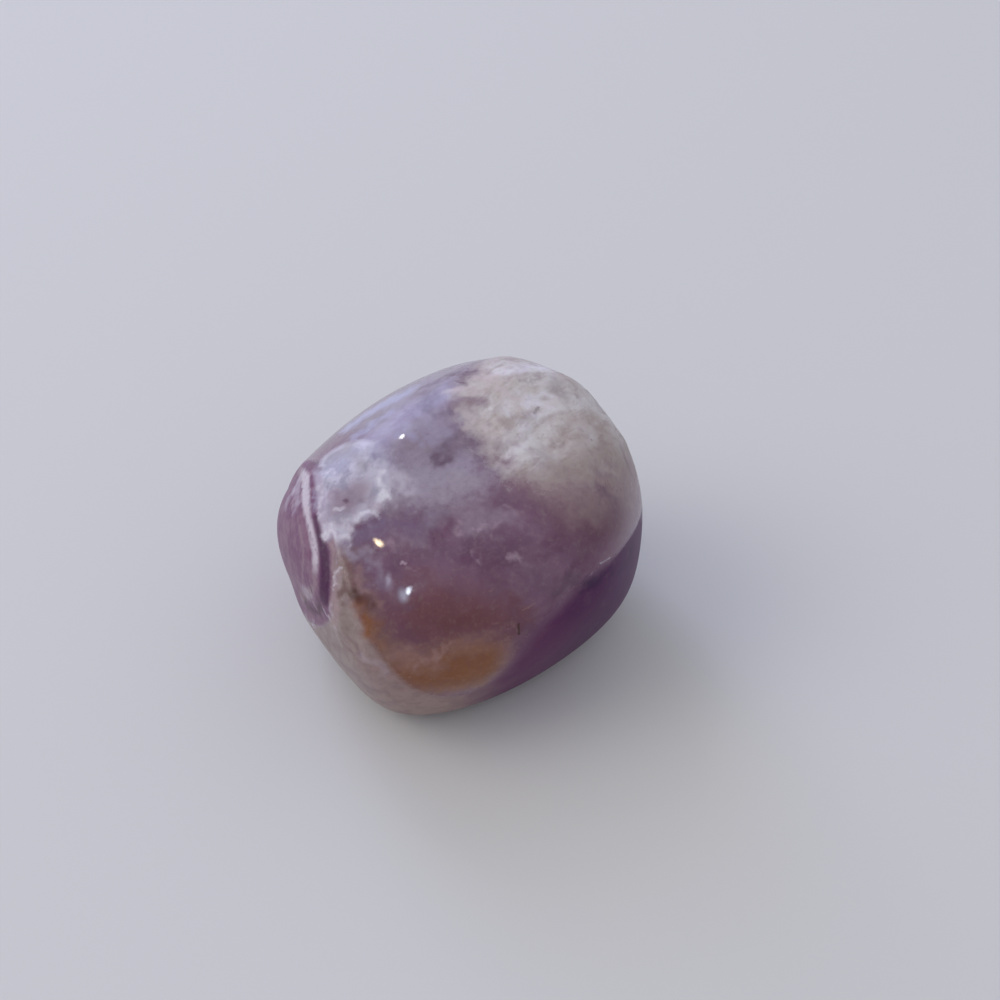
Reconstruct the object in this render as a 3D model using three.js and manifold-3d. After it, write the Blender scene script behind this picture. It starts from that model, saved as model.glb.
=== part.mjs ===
/**
 * A tumble-polished amethyst pebble, 26 mm across, lying on its flattest side.
 *
 * The stone left its vein as a rough block and tumbling rounded that block, so its form is worked
 * out the same way. A block of plane faces has its edges rounded together, and is drawn a little
 * towards a ball, which leaves the faces gently crowned. The left end, where the growth bands are
 * cut through, is sunk a little inside a ledge. Faint swells run over the whole skin, the cloudy
 * shoulder is lumpy, a few hollows are left where the polish didn't reach, and the underside is
 * worn flat where the stone rests.
 *
 * Units are millimetres and degrees. +Z is up, -Y is the front and +X is the right. The origin is
 * under the middle of the stone, on the surface that it rests on.
 */
import * as THREE from "three";
import { mergeVertices } from "three/addons/utils/BufferGeometryUtils.js";
import Module from "manifold-3d";

// ---- Driving dimensions ----------------------------------------------------------------------

// The faces of the rough block. Azimuth 0 faces the front and 90 the right, elevation 90 faces up,
// and distance is how far the face lies from the heart of the stone, in millimetres.
const FACES = [
  { name: "front", azimuth: 20, elevation: 18, distance: 11.4 },
  { name: "top", azimuth: -3, elevation: 67, distance: 9.7 },
  { name: "upper_left", azimuth: -123, elevation: 51, distance: 10.7 },
  { name: "left_end", azimuth: -74, elevation: 9, distance: 13.3 },
  { name: "lower_left_bevel", azimuth: -59, elevation: -19, distance: 12.3 },
  { name: "lower_front_bevel", azimuth: 9, elevation: -26, distance: 12.7 },
  { name: "lower_right_bevel", azimuth: 39, elevation: -20, distance: 10.6 },
  { name: "right_side", azimuth: 78, elevation: 7, distance: 12.1 },
  { name: "upper_right", azimuth: 68, elevation: 51, distance: 12.9 },
  { name: "upper_back", azimuth: 176, elevation: 50, distance: 13.8 },
  { name: "back", azimuth: -172, elevation: 8, distance: 10.6 },
  { name: "back_left", azimuth: -131, elevation: 13, distance: 11.8 },
  { name: "back_right", azimuth: 136, elevation: 15, distance: 12.7 },
  { name: "lower_back", azimuth: 168, elevation: -38, distance: 11.2 },
  { name: "lower_back_left", azimuth: -113, elevation: -41, distance: 12.2 },
  { name: "lower_back_right", azimuth: 103, elevation: -44, distance: 12.1 },
  { name: "underside", azimuth: 0, elevation: -90, distance: 8.9 },
];

// How crisp the edges between the faces stay: 2 gives a ball, and 30 nearly sharp edges.
const EDGE_CRISPNESS = 11;

// The ball that the block is drawn towards: its half axes to the right, back and top, and how
// large a share of each hold is the ball's, which is how strongly the faces are crowned.
const BALL = { right: 13.1, back: 12.1, up: 10.3, share: 0.2 };

// The sunken left end. `border` says where its ledge starts, as how far this face leads the face
// next to it there, and the ledge runs down to the full depth over the further lead of `width`.
// A face's hold on a direction is 1 over its reach, so both are in 1/mm.
const SUNKEN_END = { face: "left_end", depth: 0.35, border: -0.014, width: 0.014 };

// The slow unevenness that tumbling leaves: soft waves across the stone, each with the way that it
// runs, its wavelength and height in millimetres and its phase.
const SWELLS = [
  { azimuth: 25, elevation: 35, wavelength: 9.0, height: 0.012, phase: 40 },
  { azimuth: -60, elevation: 10, wavelength: 7.0, height: 0.008, phase: 200 },
  { azimuth: 110, elevation: -40, wavelength: 8.0, height: 0.008, phase: 310 },
];

// The cloudy shoulder at the upper right took less polish, and stays lumpy out to `radius` from
// the middle of the shoulder, fading over its outer half.
const SHOULDER = { azimuth: 115, elevation: 60, radius: 9.5 };
const SHOULDER_LUMPS = [
  { azimuth: 20, elevation: 0, wavelength: 3.1, height: 0.05, phase: 0 },
  { azimuth: 95, elevation: 20, wavelength: 3.7, height: 0.05, phase: 120 },
  { azimuth: 150, elevation: 45, wavelength: 2.7, height: 0.03, phase: 250 },
];

// Hollows that the polish didn't reach: where each lies, how wide it is and how deep.
const HOLLOWS = [
  { azimuth: -54, elevation: 45, radius: 1.5, depth: 0.18 },
  { azimuth: 98, elevation: 62, radius: 1.4, depth: 0.12 },
  { azimuth: 168, elevation: 28, radius: 1.8, depth: 0.16 },
];

// How much is worn off the lowest point, which leaves the flat that the stone rests on.
const UNDERSIDE_WEAR = 0.15;

// Each edge of the starting icosahedron is cut into this many pieces, and its points are drawn
// towards the upper front left by a share of the radius, where the finest forms are.
const EDGE_PIECES = 21;
const FINEST = { azimuth: -60, elevation: 25, share: 0.22 };

const AMETHYST = { color: 0x7a5f86, roughness: 0.12, metalness: 0 };

// ---- Form of the stone -----------------------------------------------------------------------

/** The unit vector that an azimuth and elevation face. */
function facing({ azimuth, elevation }) {
  const turn = THREE.MathUtils.degToRad(azimuth);
  const rise = THREE.MathUtils.degToRad(elevation);
  return new THREE.Vector3(
    Math.sin(turn) * Math.cos(rise),
    -Math.cos(turn) * Math.cos(rise),
    Math.sin(rise),
  );
}

const BLOCK = FACES.map((face) => ({ ...face, normal: facing(face) }));
const END_INDEX = FACES.findIndex((face) => face.name === SUNKEN_END.face);

/** Each face's hold on a direction from the heart: 1 over its reach, or 0 if it faces away. */
function holdsOn(direction) {
  return BLOCK.map((face) => Math.max(0, direction.dot(face.normal)) / face.distance);
}

/** The reach of the block with its edges rounded together and its faces crowned. */
function roundedReach(holds, direction) {
  const sum = holds.reduce((total, hold) => total + hold ** EDGE_CRISPNESS, 0);
  const blockHold = sum ** (1 / EDGE_CRISPNESS);
  const { right, back, up, share } = BALL;
  const ballHold = Math.hypot(direction.x / right, direction.y / back, direction.z / up);
  return 1 / THREE.MathUtils.lerp(blockHold, ballHold, share);
}

/** How far the skin is sunk at the left end: 0 outside its ledge and the full depth within. */
function endDepth(holds) {
  const next = Math.max(...holds.filter((_, index) => index !== END_INDEX));
  const lead = holds[END_INDEX] - next;
  const foot = SUNKEN_END.border + SUNKEN_END.width;
  return SUNKEN_END.depth * THREE.MathUtils.smoothstep(lead, SUNKEN_END.border, foot);
}

/** The height of a set of waves at a point. */
function waveHeight(waves, point) {
  return waves.reduce((height, wave) => {
    const turns = point.dot(facing(wave)) / wave.wavelength;
    const angle = 2 * Math.PI * turns + THREE.MathUtils.degToRad(wave.phase);
    return height + wave.height * Math.sin(angle);
  }, 0);
}

/** The point of the skin that lies in a direction, before its lumps and hollows. */
function plainSkin(direction) {
  const holds = holdsOn(direction);
  return direction.clone().multiplyScalar(roundedReach(holds, direction) - endDepth(holds));
}

const SHOULDER_MIDDLE = plainSkin(facing(SHOULDER));
const HOLLOW_MIDDLES = HOLLOWS.map((hollow) => plainSkin(facing(hollow)));

/** How far the skin stands out of its plain form at a point, less where it is hollow. */
function relief(point) {
  const fromShoulder = point.distanceTo(SHOULDER_MIDDLE);
  const { radius } = SHOULDER;
  const onShoulder = 1 - THREE.MathUtils.smoothstep(fromShoulder, radius / 2, radius);
  const lumps = waveHeight(SWELLS, point) + onShoulder * waveHeight(SHOULDER_LUMPS, point);
  const hollows = HOLLOWS.reduce((depth, hollow, index) => {
    const away = Math.min(1, point.distanceTo(HOLLOW_MIDDLES[index]) / hollow.radius);
    return depth + hollow.depth * (1 - away ** 2) ** 2;
  }, 0);
  return lumps - hollows;
}

/** The whole stone about its heart, before its underside is worn flat. */
function tumbledBlock() {
  const ball = new THREE.IcosahedronGeometry(1, EDGE_PIECES - 1);
  ball.deleteAttribute("normal");
  ball.deleteAttribute("uv");
  const geometry = mergeVertices(ball);
  const positions = geometry.getAttribute("position");
  const towardsFinest = facing(FINEST).multiplyScalar(FINEST.share);
  const direction = new THREE.Vector3();
  for (let index = 0; index < positions.count; index += 1) {
    direction.fromBufferAttribute(positions, index).add(towardsFinest).normalize();
    const point = plainSkin(direction);
    point.addScaledVector(direction, relief(point));
    positions.setXYZ(index, point.x, point.y, point.z);
  }
  return geometry;
}

// ---- Cutting ---------------------------------------------------------------------------------

const wasm = await Module();
wasm.setup();

/** A closed geometry as a solid that can be cut. */
function asSolid(geometry) {
  const bare = geometry.clone();
  bare.deleteAttribute("normal");
  bare.deleteAttribute("uv");
  const merged = mergeVertices(bare);
  return new wasm.Manifold(
    new wasm.Mesh({
      numProp: 3,
      vertProperties: new Float32Array(merged.getAttribute("position").array),
      triVerts: new Uint32Array(merged.getIndex().array),
    }),
  );
}

/** A solid back as a geometry. */
function asGeometry(solid) {
  const mesh = solid.getMesh();
  const geometry = new THREE.BufferGeometry();
  geometry.setAttribute("position", new THREE.BufferAttribute(mesh.vertProperties, 3));
  geometry.setIndex(new THREE.BufferAttribute(mesh.triVerts, 1));
  return geometry;
}

/** The stone with its lowest point worn to a flat. */
function wornFlat(geometry) {
  geometry.computeBoundingBox();
  const { min, max } = geometry.boundingBox;
  const size = max.clone().sub(min);
  const kept = new THREE.BoxGeometry(2 * size.x, 2 * size.y, 2 * size.z);
  kept.translate(0, 0, min.z + UNDERSIDE_WEAR + size.z);
  return asGeometry(asSolid(geometry).intersect(asSolid(kept)));
}

/** A geometry moved so that it stands on z = 0, with the middle of its box over the origin. */
function stood(geometry) {
  geometry.computeBoundingBox();
  const { min, max } = geometry.boundingBox;
  return geometry.translate(-(min.x + max.x) / 2, -(min.y + max.y) / 2, -min.z);
}

// ---- The model -------------------------------------------------------------------------------

const amethyst = new THREE.Mesh(
  stood(wornFlat(tumbledBlock())),
  new THREE.MeshStandardMaterial(AMETHYST),
);
amethyst.name = "amethyst";

const model = new THREE.Group();
model.add(amethyst);

export default model;
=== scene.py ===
"""A tumble-polished amethyst pebble on a pale studio floor.

The stone is one piece. Its fine skin is worked out from the same block of plane faces as the
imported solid, with the fine relief that the solid leaves out, and its finish is painted with
shader nodes: zones of colour with ragged borders, growth bands on the sunken end, and specks.

Lengths inside the form are millimetres about the heart of the stone, and the meshes are metres
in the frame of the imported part.
"""

import logging
import math
from collections.abc import Sequence
from dataclasses import dataclass, field
from enum import Enum

import bpy
import numpy as np
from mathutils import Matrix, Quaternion, Vector, noise


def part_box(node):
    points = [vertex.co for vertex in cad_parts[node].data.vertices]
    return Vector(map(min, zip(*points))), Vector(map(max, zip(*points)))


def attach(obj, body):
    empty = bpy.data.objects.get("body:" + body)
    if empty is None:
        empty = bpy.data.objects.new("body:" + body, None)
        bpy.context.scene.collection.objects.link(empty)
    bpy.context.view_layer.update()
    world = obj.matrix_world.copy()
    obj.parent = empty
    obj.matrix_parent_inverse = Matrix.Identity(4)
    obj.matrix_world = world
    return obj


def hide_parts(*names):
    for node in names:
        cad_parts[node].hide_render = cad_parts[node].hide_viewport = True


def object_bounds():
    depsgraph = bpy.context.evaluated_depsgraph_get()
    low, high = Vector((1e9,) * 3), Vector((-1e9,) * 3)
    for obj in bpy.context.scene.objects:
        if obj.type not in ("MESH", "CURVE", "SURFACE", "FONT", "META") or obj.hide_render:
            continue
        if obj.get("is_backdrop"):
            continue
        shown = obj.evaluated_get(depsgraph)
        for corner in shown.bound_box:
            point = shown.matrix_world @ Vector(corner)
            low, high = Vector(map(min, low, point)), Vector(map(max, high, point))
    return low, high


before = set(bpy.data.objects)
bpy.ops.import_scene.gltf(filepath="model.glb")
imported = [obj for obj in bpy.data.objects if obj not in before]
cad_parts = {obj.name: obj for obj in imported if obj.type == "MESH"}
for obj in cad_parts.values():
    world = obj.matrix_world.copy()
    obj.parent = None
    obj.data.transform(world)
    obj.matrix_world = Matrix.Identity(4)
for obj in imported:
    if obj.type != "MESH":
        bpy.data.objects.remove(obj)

Colour = tuple[float, float, float]
Paint = tuple[int, int, int]
Points = np.ndarray
Span = tuple[float, float]
Socket = bpy.types.NodeSocket
Sockets = bpy.types.bpy_prop_collection
Given = Socket | float | Sequence[float]

LOG = logging.getLogger("amethyst")

# Metres in a millimetre.
MM = 0.001

# How far the skin lies from the heart on the average, in millimetres.
MEAN_REACH = 12.3

# Too small to matter: it keeps a step of no length from being divided by.
TINY = 1e-6

# The value that a noise wanders about.
MID_NOISE = 0.5

# Where the middle of an area lamp lies across it, and how far its edges are from there.
LAMP_MIDDLE = (0.5, 0.5, 0.0)
LAMP_HALF = 0.5

BLACK = (0.0, 0.0, 0.0, 1.0)


# ---- Directions and colours ------------------------------------------------------------------


@dataclass(frozen=True)
class Bearing:
    """A direction in degrees: azimuth 0 faces the front, 90 the right, and elevation 90 up."""

    azimuth: float
    elevation: float

    def vector(self) -> np.ndarray:
        """Finds the way that the bearing points.

        Returns:
            The unit vector.
        """
        turn, rise = math.radians(self.azimuth), math.radians(self.elevation)
        level = math.cos(rise)
        return np.array([math.sin(turn) * level, -math.cos(turn) * level, math.sin(rise)])


def paint(red: int, green: int, blue: int) -> tuple[float, float, float, float]:
    """Turns a colour as a painter reads it, on the sRGB curve, into a linear one for shaders.

    Args:
        red: Red, from 0 to 255.
        green: Green, from 0 to 255.
        blue: Blue, from 0 to 255.

    Returns:
        The linear colour with an alpha of 1.
    """
    linear = [
        part / 255 / 12.92 if part <= 10 else ((part / 255 + 0.055) / 1.055) ** 2.4
        for part in (red, green, blue)
    ]
    return (linear[0], linear[1], linear[2], 1.0)


def smooth_between(low: float, high: float, values: np.ndarray) -> np.ndarray:
    """Returns values graded smoothly, from 0 at low to 1 at high."""
    share = np.clip((values - low) / (high - low), 0.0, 1.0)
    return share * share * (3.0 - 2.0 * share)


# ---- Form of the stone -----------------------------------------------------------------------


@dataclass(frozen=True)
class BlockFace:
    """A plane face of the rough block that tumbling rounded."""

    name: str
    bearing: Bearing
    distance: float


@dataclass(frozen=True)
class Wave:
    """A soft wave across the stone."""

    bearing: Bearing
    wavelength: float
    height: float
    phase: float

    def heights(self, points: Points) -> np.ndarray:
        """Returns the wave's height at each point."""
        turns = points @ self.bearing.vector() / self.wavelength
        return self.height * np.sin(2 * math.pi * turns + math.radians(self.phase))


@dataclass(frozen=True)
class Hollow:
    """A shallow hollow or pit that the polish didn't reach."""

    bearing: Bearing
    radius: float
    depth: float


def face(name: str, azimuth: float, elevation: float, distance: float) -> BlockFace:
    """Returns a face of the block from its plain numbers."""
    return BlockFace(name, Bearing(azimuth, elevation), distance)


@dataclass(frozen=True)
class TumbledForm:
    """The form of the stone: a block with rounded edges, a sunken end, swells and hollows.

    The ledge round the sunken end starts at a given lead of its face over the others, and it
    spans some more of that lead.
    """

    faces: tuple[BlockFace, ...] = (
        face("front", 20, 18, 11.4),
        face("top", -3, 67, 9.7),
        face("upper_left", -123, 51, 10.7),
        face("left_end", -74, 9, 13.3),
        face("lower_left_bevel", -59, -19, 12.3),
        face("lower_front_bevel", 9, -26, 12.7),
        face("lower_right_bevel", 39, -20, 10.6),
        face("right_side", 78, 7, 12.1),
        face("upper_right", 68, 51, 12.9),
        face("upper_back", 176, 50, 13.8),
        face("back", -172, 8, 10.6),
        face("back_left", -131, 13, 11.8),
        face("back_right", 136, 15, 12.7),
        face("lower_back", 168, -38, 11.2),
        face("lower_back_left", -113, -41, 12.2),
        face("lower_back_right", 103, -44, 12.1),
        face("underside", 0, -90, 8.9),
    )
    edge_crispness: float = 11.0
    ball_axes: tuple[float, float, float] = (13.1, 12.1, 10.3)
    ball_share: float = 0.2
    bevels: tuple[str, ...] = ("lower_left_bevel", "lower_front_bevel", "lower_right_bevel")
    sunken_face: str = "left_end"
    sunken_depth: float = 0.35
    ledge_starts: float = -0.014
    ledge_spans: float = 0.010
    swells: tuple[Wave, ...] = (
        Wave(Bearing(25, 35), 9.0, 0.012, 40),
        Wave(Bearing(-60, 10), 7.0, 0.008, 200),
        Wave(Bearing(110, -40), 8.0, 0.008, 310),
    )
    shoulder: Bearing = Bearing(115, 60)
    shoulder_radius: float = 9.5
    shoulder_lumps: tuple[Wave, ...] = (
        Wave(Bearing(20, 0), 3.1, 0.05, 0),
        Wave(Bearing(95, 20), 3.7, 0.05, 120),
        Wave(Bearing(150, 45), 2.7, 0.03, 250),
    )
    hollows: tuple[Hollow, ...] = (
        Hollow(Bearing(-54, 45), 1.5, 0.18),
        Hollow(Bearing(98, 62), 1.4, 0.12),
        Hollow(Bearing(168, 28), 1.8, 0.16),
    )
    underside_wear: float = 0.15

    def holds(self, directions: Points) -> np.ndarray:
        """Finds how strongly each face bounds the stone in each direction.

        Args:
            directions: Unit vectors from the heart.

        Returns:
            A row for each direction, with 1 over each face's reach there.
        """
        normals = np.array([each.bearing.vector() for each in self.faces])
        distances = np.array([each.distance for each in self.faces])
        return np.maximum(directions @ normals.T, 0.0) / distances

    def lead(self, holds: np.ndarray, names: tuple[str, ...]) -> np.ndarray:
        """Returns how far the strongest hold of some faces leads the strongest of the others."""
        ours = np.array([each.name in names for each in self.faces])
        return holds[:, ours].max(axis=1) - holds[:, ~ours].max(axis=1)

    def plain_skin(self, directions: Points) -> Points:
        """Finds the skin before its swells, lumps and hollows.

        Args:
            directions: Unit vectors from the heart.

        Returns:
            A point for each direction.
        """
        holds = self.holds(directions)
        block_hold = (holds**self.edge_crispness).sum(axis=1) ** (1.0 / self.edge_crispness)
        ball_hold = np.linalg.norm(directions / np.array(self.ball_axes), axis=1)
        reach = 1.0 / ((1.0 - self.ball_share) * block_hold + self.ball_share * ball_hold)
        lead = self.lead(holds, (self.sunken_face,))
        foot = self.ledge_starts + self.ledge_spans
        sunk = self.sunken_depth * smooth_between(self.ledge_starts, foot, lead)
        return directions * (reach - sunk)[:, None]

    def on_shoulder(self, points: Points) -> np.ndarray:
        """Finds how much each point belongs to the lumpy shoulder.

        Args:
            points: Points of the plain skin.

        Returns:
            The share at each point, from 0 to 1.
        """
        middle = self.plain_skin(self.shoulder.vector()[None, :])[0]
        away = np.linalg.norm(points - middle, axis=1)
        return 1.0 - smooth_between(self.shoulder_radius / 2, self.shoulder_radius, away)

    def hollow_depth(self, points: Points, hollows: tuple[Hollow, ...]) -> np.ndarray:
        """Finds how deep some hollows are at each point.

        Args:
            points: Points of the plain skin.
            hollows: The hollows.

        Returns:
            The depth at each point.
        """
        depth = np.zeros(len(points))
        for hollow in hollows:
            middle = self.plain_skin(hollow.bearing.vector()[None, :])[0]
            away = np.minimum(np.linalg.norm(points - middle, axis=1) / hollow.radius, 1.0)
            depth += hollow.depth * (1.0 - away**2) ** 2
        return depth

    def relief(self, points: Points) -> np.ndarray:
        """Finds how far the skin stands out of its plain form.

        Args:
            points: Points of the plain skin.

        Returns:
            The height at each point.
        """
        swell = sum(wave.heights(points) for wave in self.swells)
        lumps = sum(wave.heights(points) for wave in self.shoulder_lumps)
        return swell + self.on_shoulder(points) * lumps - self.hollow_depth(points, self.hollows)


# ---- Zones of colour -------------------------------------------------------------------------


class Zone(Enum):
    """The fields on the skin that the finish reads, under the names of their attributes."""

    CLOUD = "zone_cloud"
    SMOKE = "zone_smoke"
    HAZE = "zone_haze"
    MILK = "zone_milk"
    MILK_HEART = "zone_milk_heart"
    VEIL = "zone_veil"
    MAROON = "zone_maroon"
    HONEY = "zone_honey"
    HONEY_SEAM = "zone_honey_seam"
    BEVEL = "zone_bevel"
    SUNKEN_END = "zone_end"
    CREAM_BAND = "zone_cream_band"
    THIN_BAND = "zone_thin_band"
    LILAC_BAND = "zone_lilac_band"
    DARK_BAND = "zone_dark_band"
    LIP = "zone_lip"


# How much of each side a cut takes off at a corner.
CORNER_CUT = 0.25


def corners_cut(points: np.ndarray, rounds: int, closed: bool) -> np.ndarray:
    """Rounds a line by cutting its corners again and again.

    Args:
        points: The line's corners, one in each row.
        rounds: How many times its corners are cut.
        closed: Whether the line comes back to its start.

    Returns:
        The rounded line.
    """
    for _ in range(rounds):
        following = np.roll(points, -1, axis=0) if closed else points[1:]
        leading = points if closed else points[:-1]
        step = CORNER_CUT * (following - leading)
        cut = np.stack([leading + step, following - step], axis=1)
        cut = cut.reshape(-1, points.shape[1])
        points = cut if closed else np.concatenate([points[:1], cut, points[-1:]])
    return points


@dataclass(frozen=True)
class Outline:
    """A closed line on the skin, through a few bearings from the heart."""

    knots: tuple[tuple[float, float], ...]
    rounds: int = 3

    def _flat(self, directions: Points) -> tuple[np.ndarray, np.ndarray]:
        """Unrolls directions round the middle of the outline.

        Args:
            directions: Unit vectors from the heart.

        Returns:
            The directions, and the outline's own corners, as flat points in millimetres.
        """
        corners = np.array([Bearing(*knot).vector() for knot in self.knots])
        middle = corners.mean(axis=0)
        middle /= np.linalg.norm(middle)
        across = np.cross([0.0, 0.0, 1.0], middle)
        across /= np.linalg.norm(across)
        along = np.cross(middle, across)

        def unroll(rows: Points) -> np.ndarray:
            """Lays rows flat at their true distance from the middle.

            Args:
                rows: Unit vectors from the heart.

            Returns:
                The flat points, in millimetres.
            """
            turn = np.arccos(np.clip(rows @ middle, -1.0, 1.0))
            side = np.stack([rows @ across, rows @ along], axis=1)
            length = np.maximum(np.linalg.norm(side, axis=1), TINY)
            return side * (MEAN_REACH * turn / length)[:, None]

        return unroll(directions), unroll(corners)

    def inside(self, directions: Points) -> np.ndarray:
        """Finds how far inside the outline each direction lies.

        Args:
            directions: Unit vectors from the heart.

        Returns:
            The distance to the line in millimetres, negative outside it.
        """
        flat, corners = self._flat(directions)
        line = corners_cut(corners, self.rounds, closed=True)
        nearest = np.full(len(flat), np.inf)
        within = np.zeros(len(flat), dtype=bool)
        for start, end in zip(line, np.roll(line, -1, axis=0)):
            step = end - start
            share = np.clip((flat - start) @ step / max(step @ step, TINY), 0.0, 1.0)
            away = np.linalg.norm(flat - start - share[:, None] * step, axis=1)
            nearest = np.minimum(nearest, away)
            spans = (start[1] > flat[:, 1]) != (end[1] > flat[:, 1])
            rise = end[1] - start[1] if end[1] != start[1] else TINY
            crossing = start[0] + (flat[:, 1] - start[1]) * step[0] / rise
            within ^= spans & (flat[:, 0] < crossing)
        return np.where(within, nearest, -nearest)


@dataclass(frozen=True)
class Band:
    """A band along the skin, through a few bearings with half its width at each."""

    knots: tuple[tuple[float, float, float], ...]
    rounds: int = 2

    def inside(self, directions: Points) -> np.ndarray:
        """Finds how far inside the band each direction lies.

        Args:
            directions: Unit vectors from the heart.

        Returns:
            The distance to the band's edge in millimetres, negative outside it.
        """
        rows = [
            [*Bearing(turn, rise).vector() * MEAN_REACH, half] for turn, rise, half in self.knots
        ]
        line = corners_cut(np.array(rows), self.rounds, closed=False)
        places = directions * MEAN_REACH
        deepest = np.full(len(places), -np.inf)
        for start, end in zip(line, line[1:]):
            step = end - start
            ahead = (places - start[:3]) @ step[:3]
            share = np.clip(ahead / max(step[:3] @ step[:3], TINY), 0.0, 1.0)
            away = np.linalg.norm(places - start[:3] - share[:, None] * step[:3], axis=1)
            deepest = np.maximum(deepest, start[3] + share * step[3] - away)
        return deepest


ZONE_SHAPES: dict[Zone, Outline | Band] = {
    Zone.CLOUD: Outline(
        (
            (168, 58), (170, 65), (180, 72), (-175, 77), (172, 83), (82, 86), (46, 78),
            (42, 71), (46, 62), (58, 55), (68, 46), (84, 34), (96, 22), (112, 14),
            (130, 12), (152, 24), (164, 42),
        )
    ),
    Zone.SMOKE: Outline(
        (
            (44, 62), (62, 60), (76, 46), (92, 32), (112, 22), (124, 4), (112, -8),
            (97, 6), (74, 19), (56, 25), (46, 34), (44, 46),
        )
    ),
    Zone.HAZE: Outline(
        (
            (-130, 36), (-158, 44), (-178, 49), (168, 56), (174, 70), (150, 84), (52, 76),
            (28, 71), (4, 66), (-16, 61), (-30, 56), (-42, 50), (-62, 56), (-92, 56),
            (-110, 42),
        )
    ),
    Zone.MILK: Outline(
        (
            (-90.2, 36.1), (-96, 39.3), (-95.9, 47.8), (-88.5, 58.4), (-74.4, 63.1), (-59.7, 61.1),
            (-49.4, 56.6), (-44.3, 51.4), (-44.5, 45), (-47.5, 40), (-47, 37.6), (-45.2, 35.7),
            (-47.1, 33.1), (-51.6, 31.1), (-58.7, 33.3), (-68.2, 35.7), (-78.4, 36.9),
        )
    ),
    Zone.MILK_HEART: Band(
        (
            (-58.2, 38.4, 0.6), (-58, 42.8, 0.95), (-58.9, 47.5, 0.7),
        )
    ),
    Zone.VEIL: Band(
        (
            (-58, 57, 0.9), (-43, 58, 1.7), (-24, 63.5, 1.5), (-2, 66.5, 1.3), (20, 67, 1.1),
            (32, 67, 0.5),
        )
    ),
    Zone.MAROON: Outline(
        (
            (-23, 27), (-10, 31), (5, 28), (18, 23.5), (23, 16), (18, 8), (4, 9), (-6, 8),
            (-13, 6), (-18, 12), (-22, 20),
        )
    ),
    Zone.HONEY: Outline(
        (
            (-22.9, 12.9), (-18.1, 10.4), (-13.5, 8.2), (-8, 8.7), (-1.3, 10.9), (7, 10.2),
            (13.2, 7.8), (16.4, 2), (14.9, -7.2), (8.2, -14.1), (-1.4, -12.7), (-9.7, -9.5),
            (-16.2, -4.8), (-20.1, 1), (-22.7, 7.5),
        )
    ),
    Zone.HONEY_SEAM: Band(
        (
            (-42, 30.5, 0.35), (-38.6, 27, 0.5), (-33.5, 24, 0.75), (-28.5, 20, 0.8),
            (-24.5, 15, 0.8), (-21, 9, 0.9),
        )
    ),
    Zone.BEVEL: Outline(
        (
            (-44, 31), (-38.7, 25.7), (-33.6, 22.4), (-28.2, 18.4), (-22.9, 11.3), (-17.7, 2.3),
            (-12.8, -6), (-6.1, -14.6), (3.4, -18.2), (11.5, -14.5), (17.8, -7.5), (23, 1),
            (29, 8.5), (36.5, 13), (46.8, 17.8), (58.9, 18.3), (76.6, 13.7), (101, 2.7),
            (114, -2), (130, -6), (150, -10), (172, -13), (-165, -15), (-145, -16),
            (-125, -18), (-108, -22), (-92, -25), (-80, -22), (-72, -18), (-60, -10),
            (-50, -2.7), (-39.4, 10.7), (-37.4, 18.3), (-40, 24.2),
        )
    ),
    Zone.SUNKEN_END: Outline(
        (
            (-104, 24), (-88, 38), (-75, 40), (-65, 38), (-52.9, 34.2), (-44.5, 29.9),
            (-40, 24.4), (-37.6, 18.3), (-39.4, 10.7), (-49.7, -2.7), (-69.1, -16.5),
            (-90, -20), (-106, -10), (-112, 6),
        )
    ),
    Zone.CREAM_BAND: Band(
        (
            (-100, 22, 0.3), (-85.2, 32.2, 0.39), (-80.6, 31.9, 0.46), (-75.6, 31.8, 0.38),
            (-70.2, 31.7, 0.33), (-65.8, 31.1, 0.26), (-61.7, 30.1, 0.22), (-58.1, 28.9, 0.24),
            (-54.7, 27.3, 0.25), (-52.3, 25.5, 0.27), (-50.3, 23, 0.3), (-48.9, 20.1, 0.34),
            (-48.2, 17.4, 0.2), (-53, 10.1, 0.34), (-63.8, -2.4, 0.4),
        )
    ),
    Zone.DARK_BAND: Band(
        (
            (-62.6, 32.8, 0.12), (-57.5, 31.1, 0.15), (-53.7, 29.5, 0.18), (-49.9, 28, 0.35),
            (-47.4, 25.7, 0.34), (-45.2, 23.4, 0.42), (-43.6, 20.5, 0.48), (-42.7, 17.4, 0.56),
        )
    ),
    Zone.LILAC_BAND: Band(
        (
            (-97, 41, 0.5), (-89.3, 37.1, 0.51), (-79.1, 39, 0.48), (-72.4, 38.5, 0.51),
            (-66.3, 37.1, 0.52), (-60.8, 35.8, 0.45), (-56.4, 34.1, 0.42), (-52.3, 32.3, 0.33),
        )
    ),
    Zone.THIN_BAND: Band(
        (
            (-69.7, 26.7, 0.1), (-63, 25.2, 0.16), (-59.3, 23.1, 0.18), (-57.5, 19.3, 0.18),
            (-57.8, 13, 0.12),
        )
    ),
    Zone.LIP: Band(
        (
            (-48.7, 31.1, 0.19), (-45, 28.9, 0.27), (-42.3, 26.2, 0.35), (-39.7, 23, 0.4),
            (-38.1, 19.4, 0.4), (-37.2, 15.3, 0.49), (-37.3, 10.5, 0.34),
        )
    ),
}


# ---- Shader nodes ----------------------------------------------------------------------------


@dataclass(frozen=True)
class Pattern:
    """A fractal noise: its largest patches' width in millimetres, and how it breaks up."""

    size: float
    detail: float
    roughness: float
    distortion: float = 0.0


@dataclass(frozen=True)
class Mixture:
    """What a mix node mixes, and which of its sockets are its share, its ends and its result."""

    kind: str
    share: int
    below: int
    above: int
    result: int


OF_NUMBERS = Mixture("FLOAT", share=0, below=2, above=3, result=0)
OF_COLOURS = Mixture("RGBA", share=0, below=6, above=7, result=2)


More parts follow.
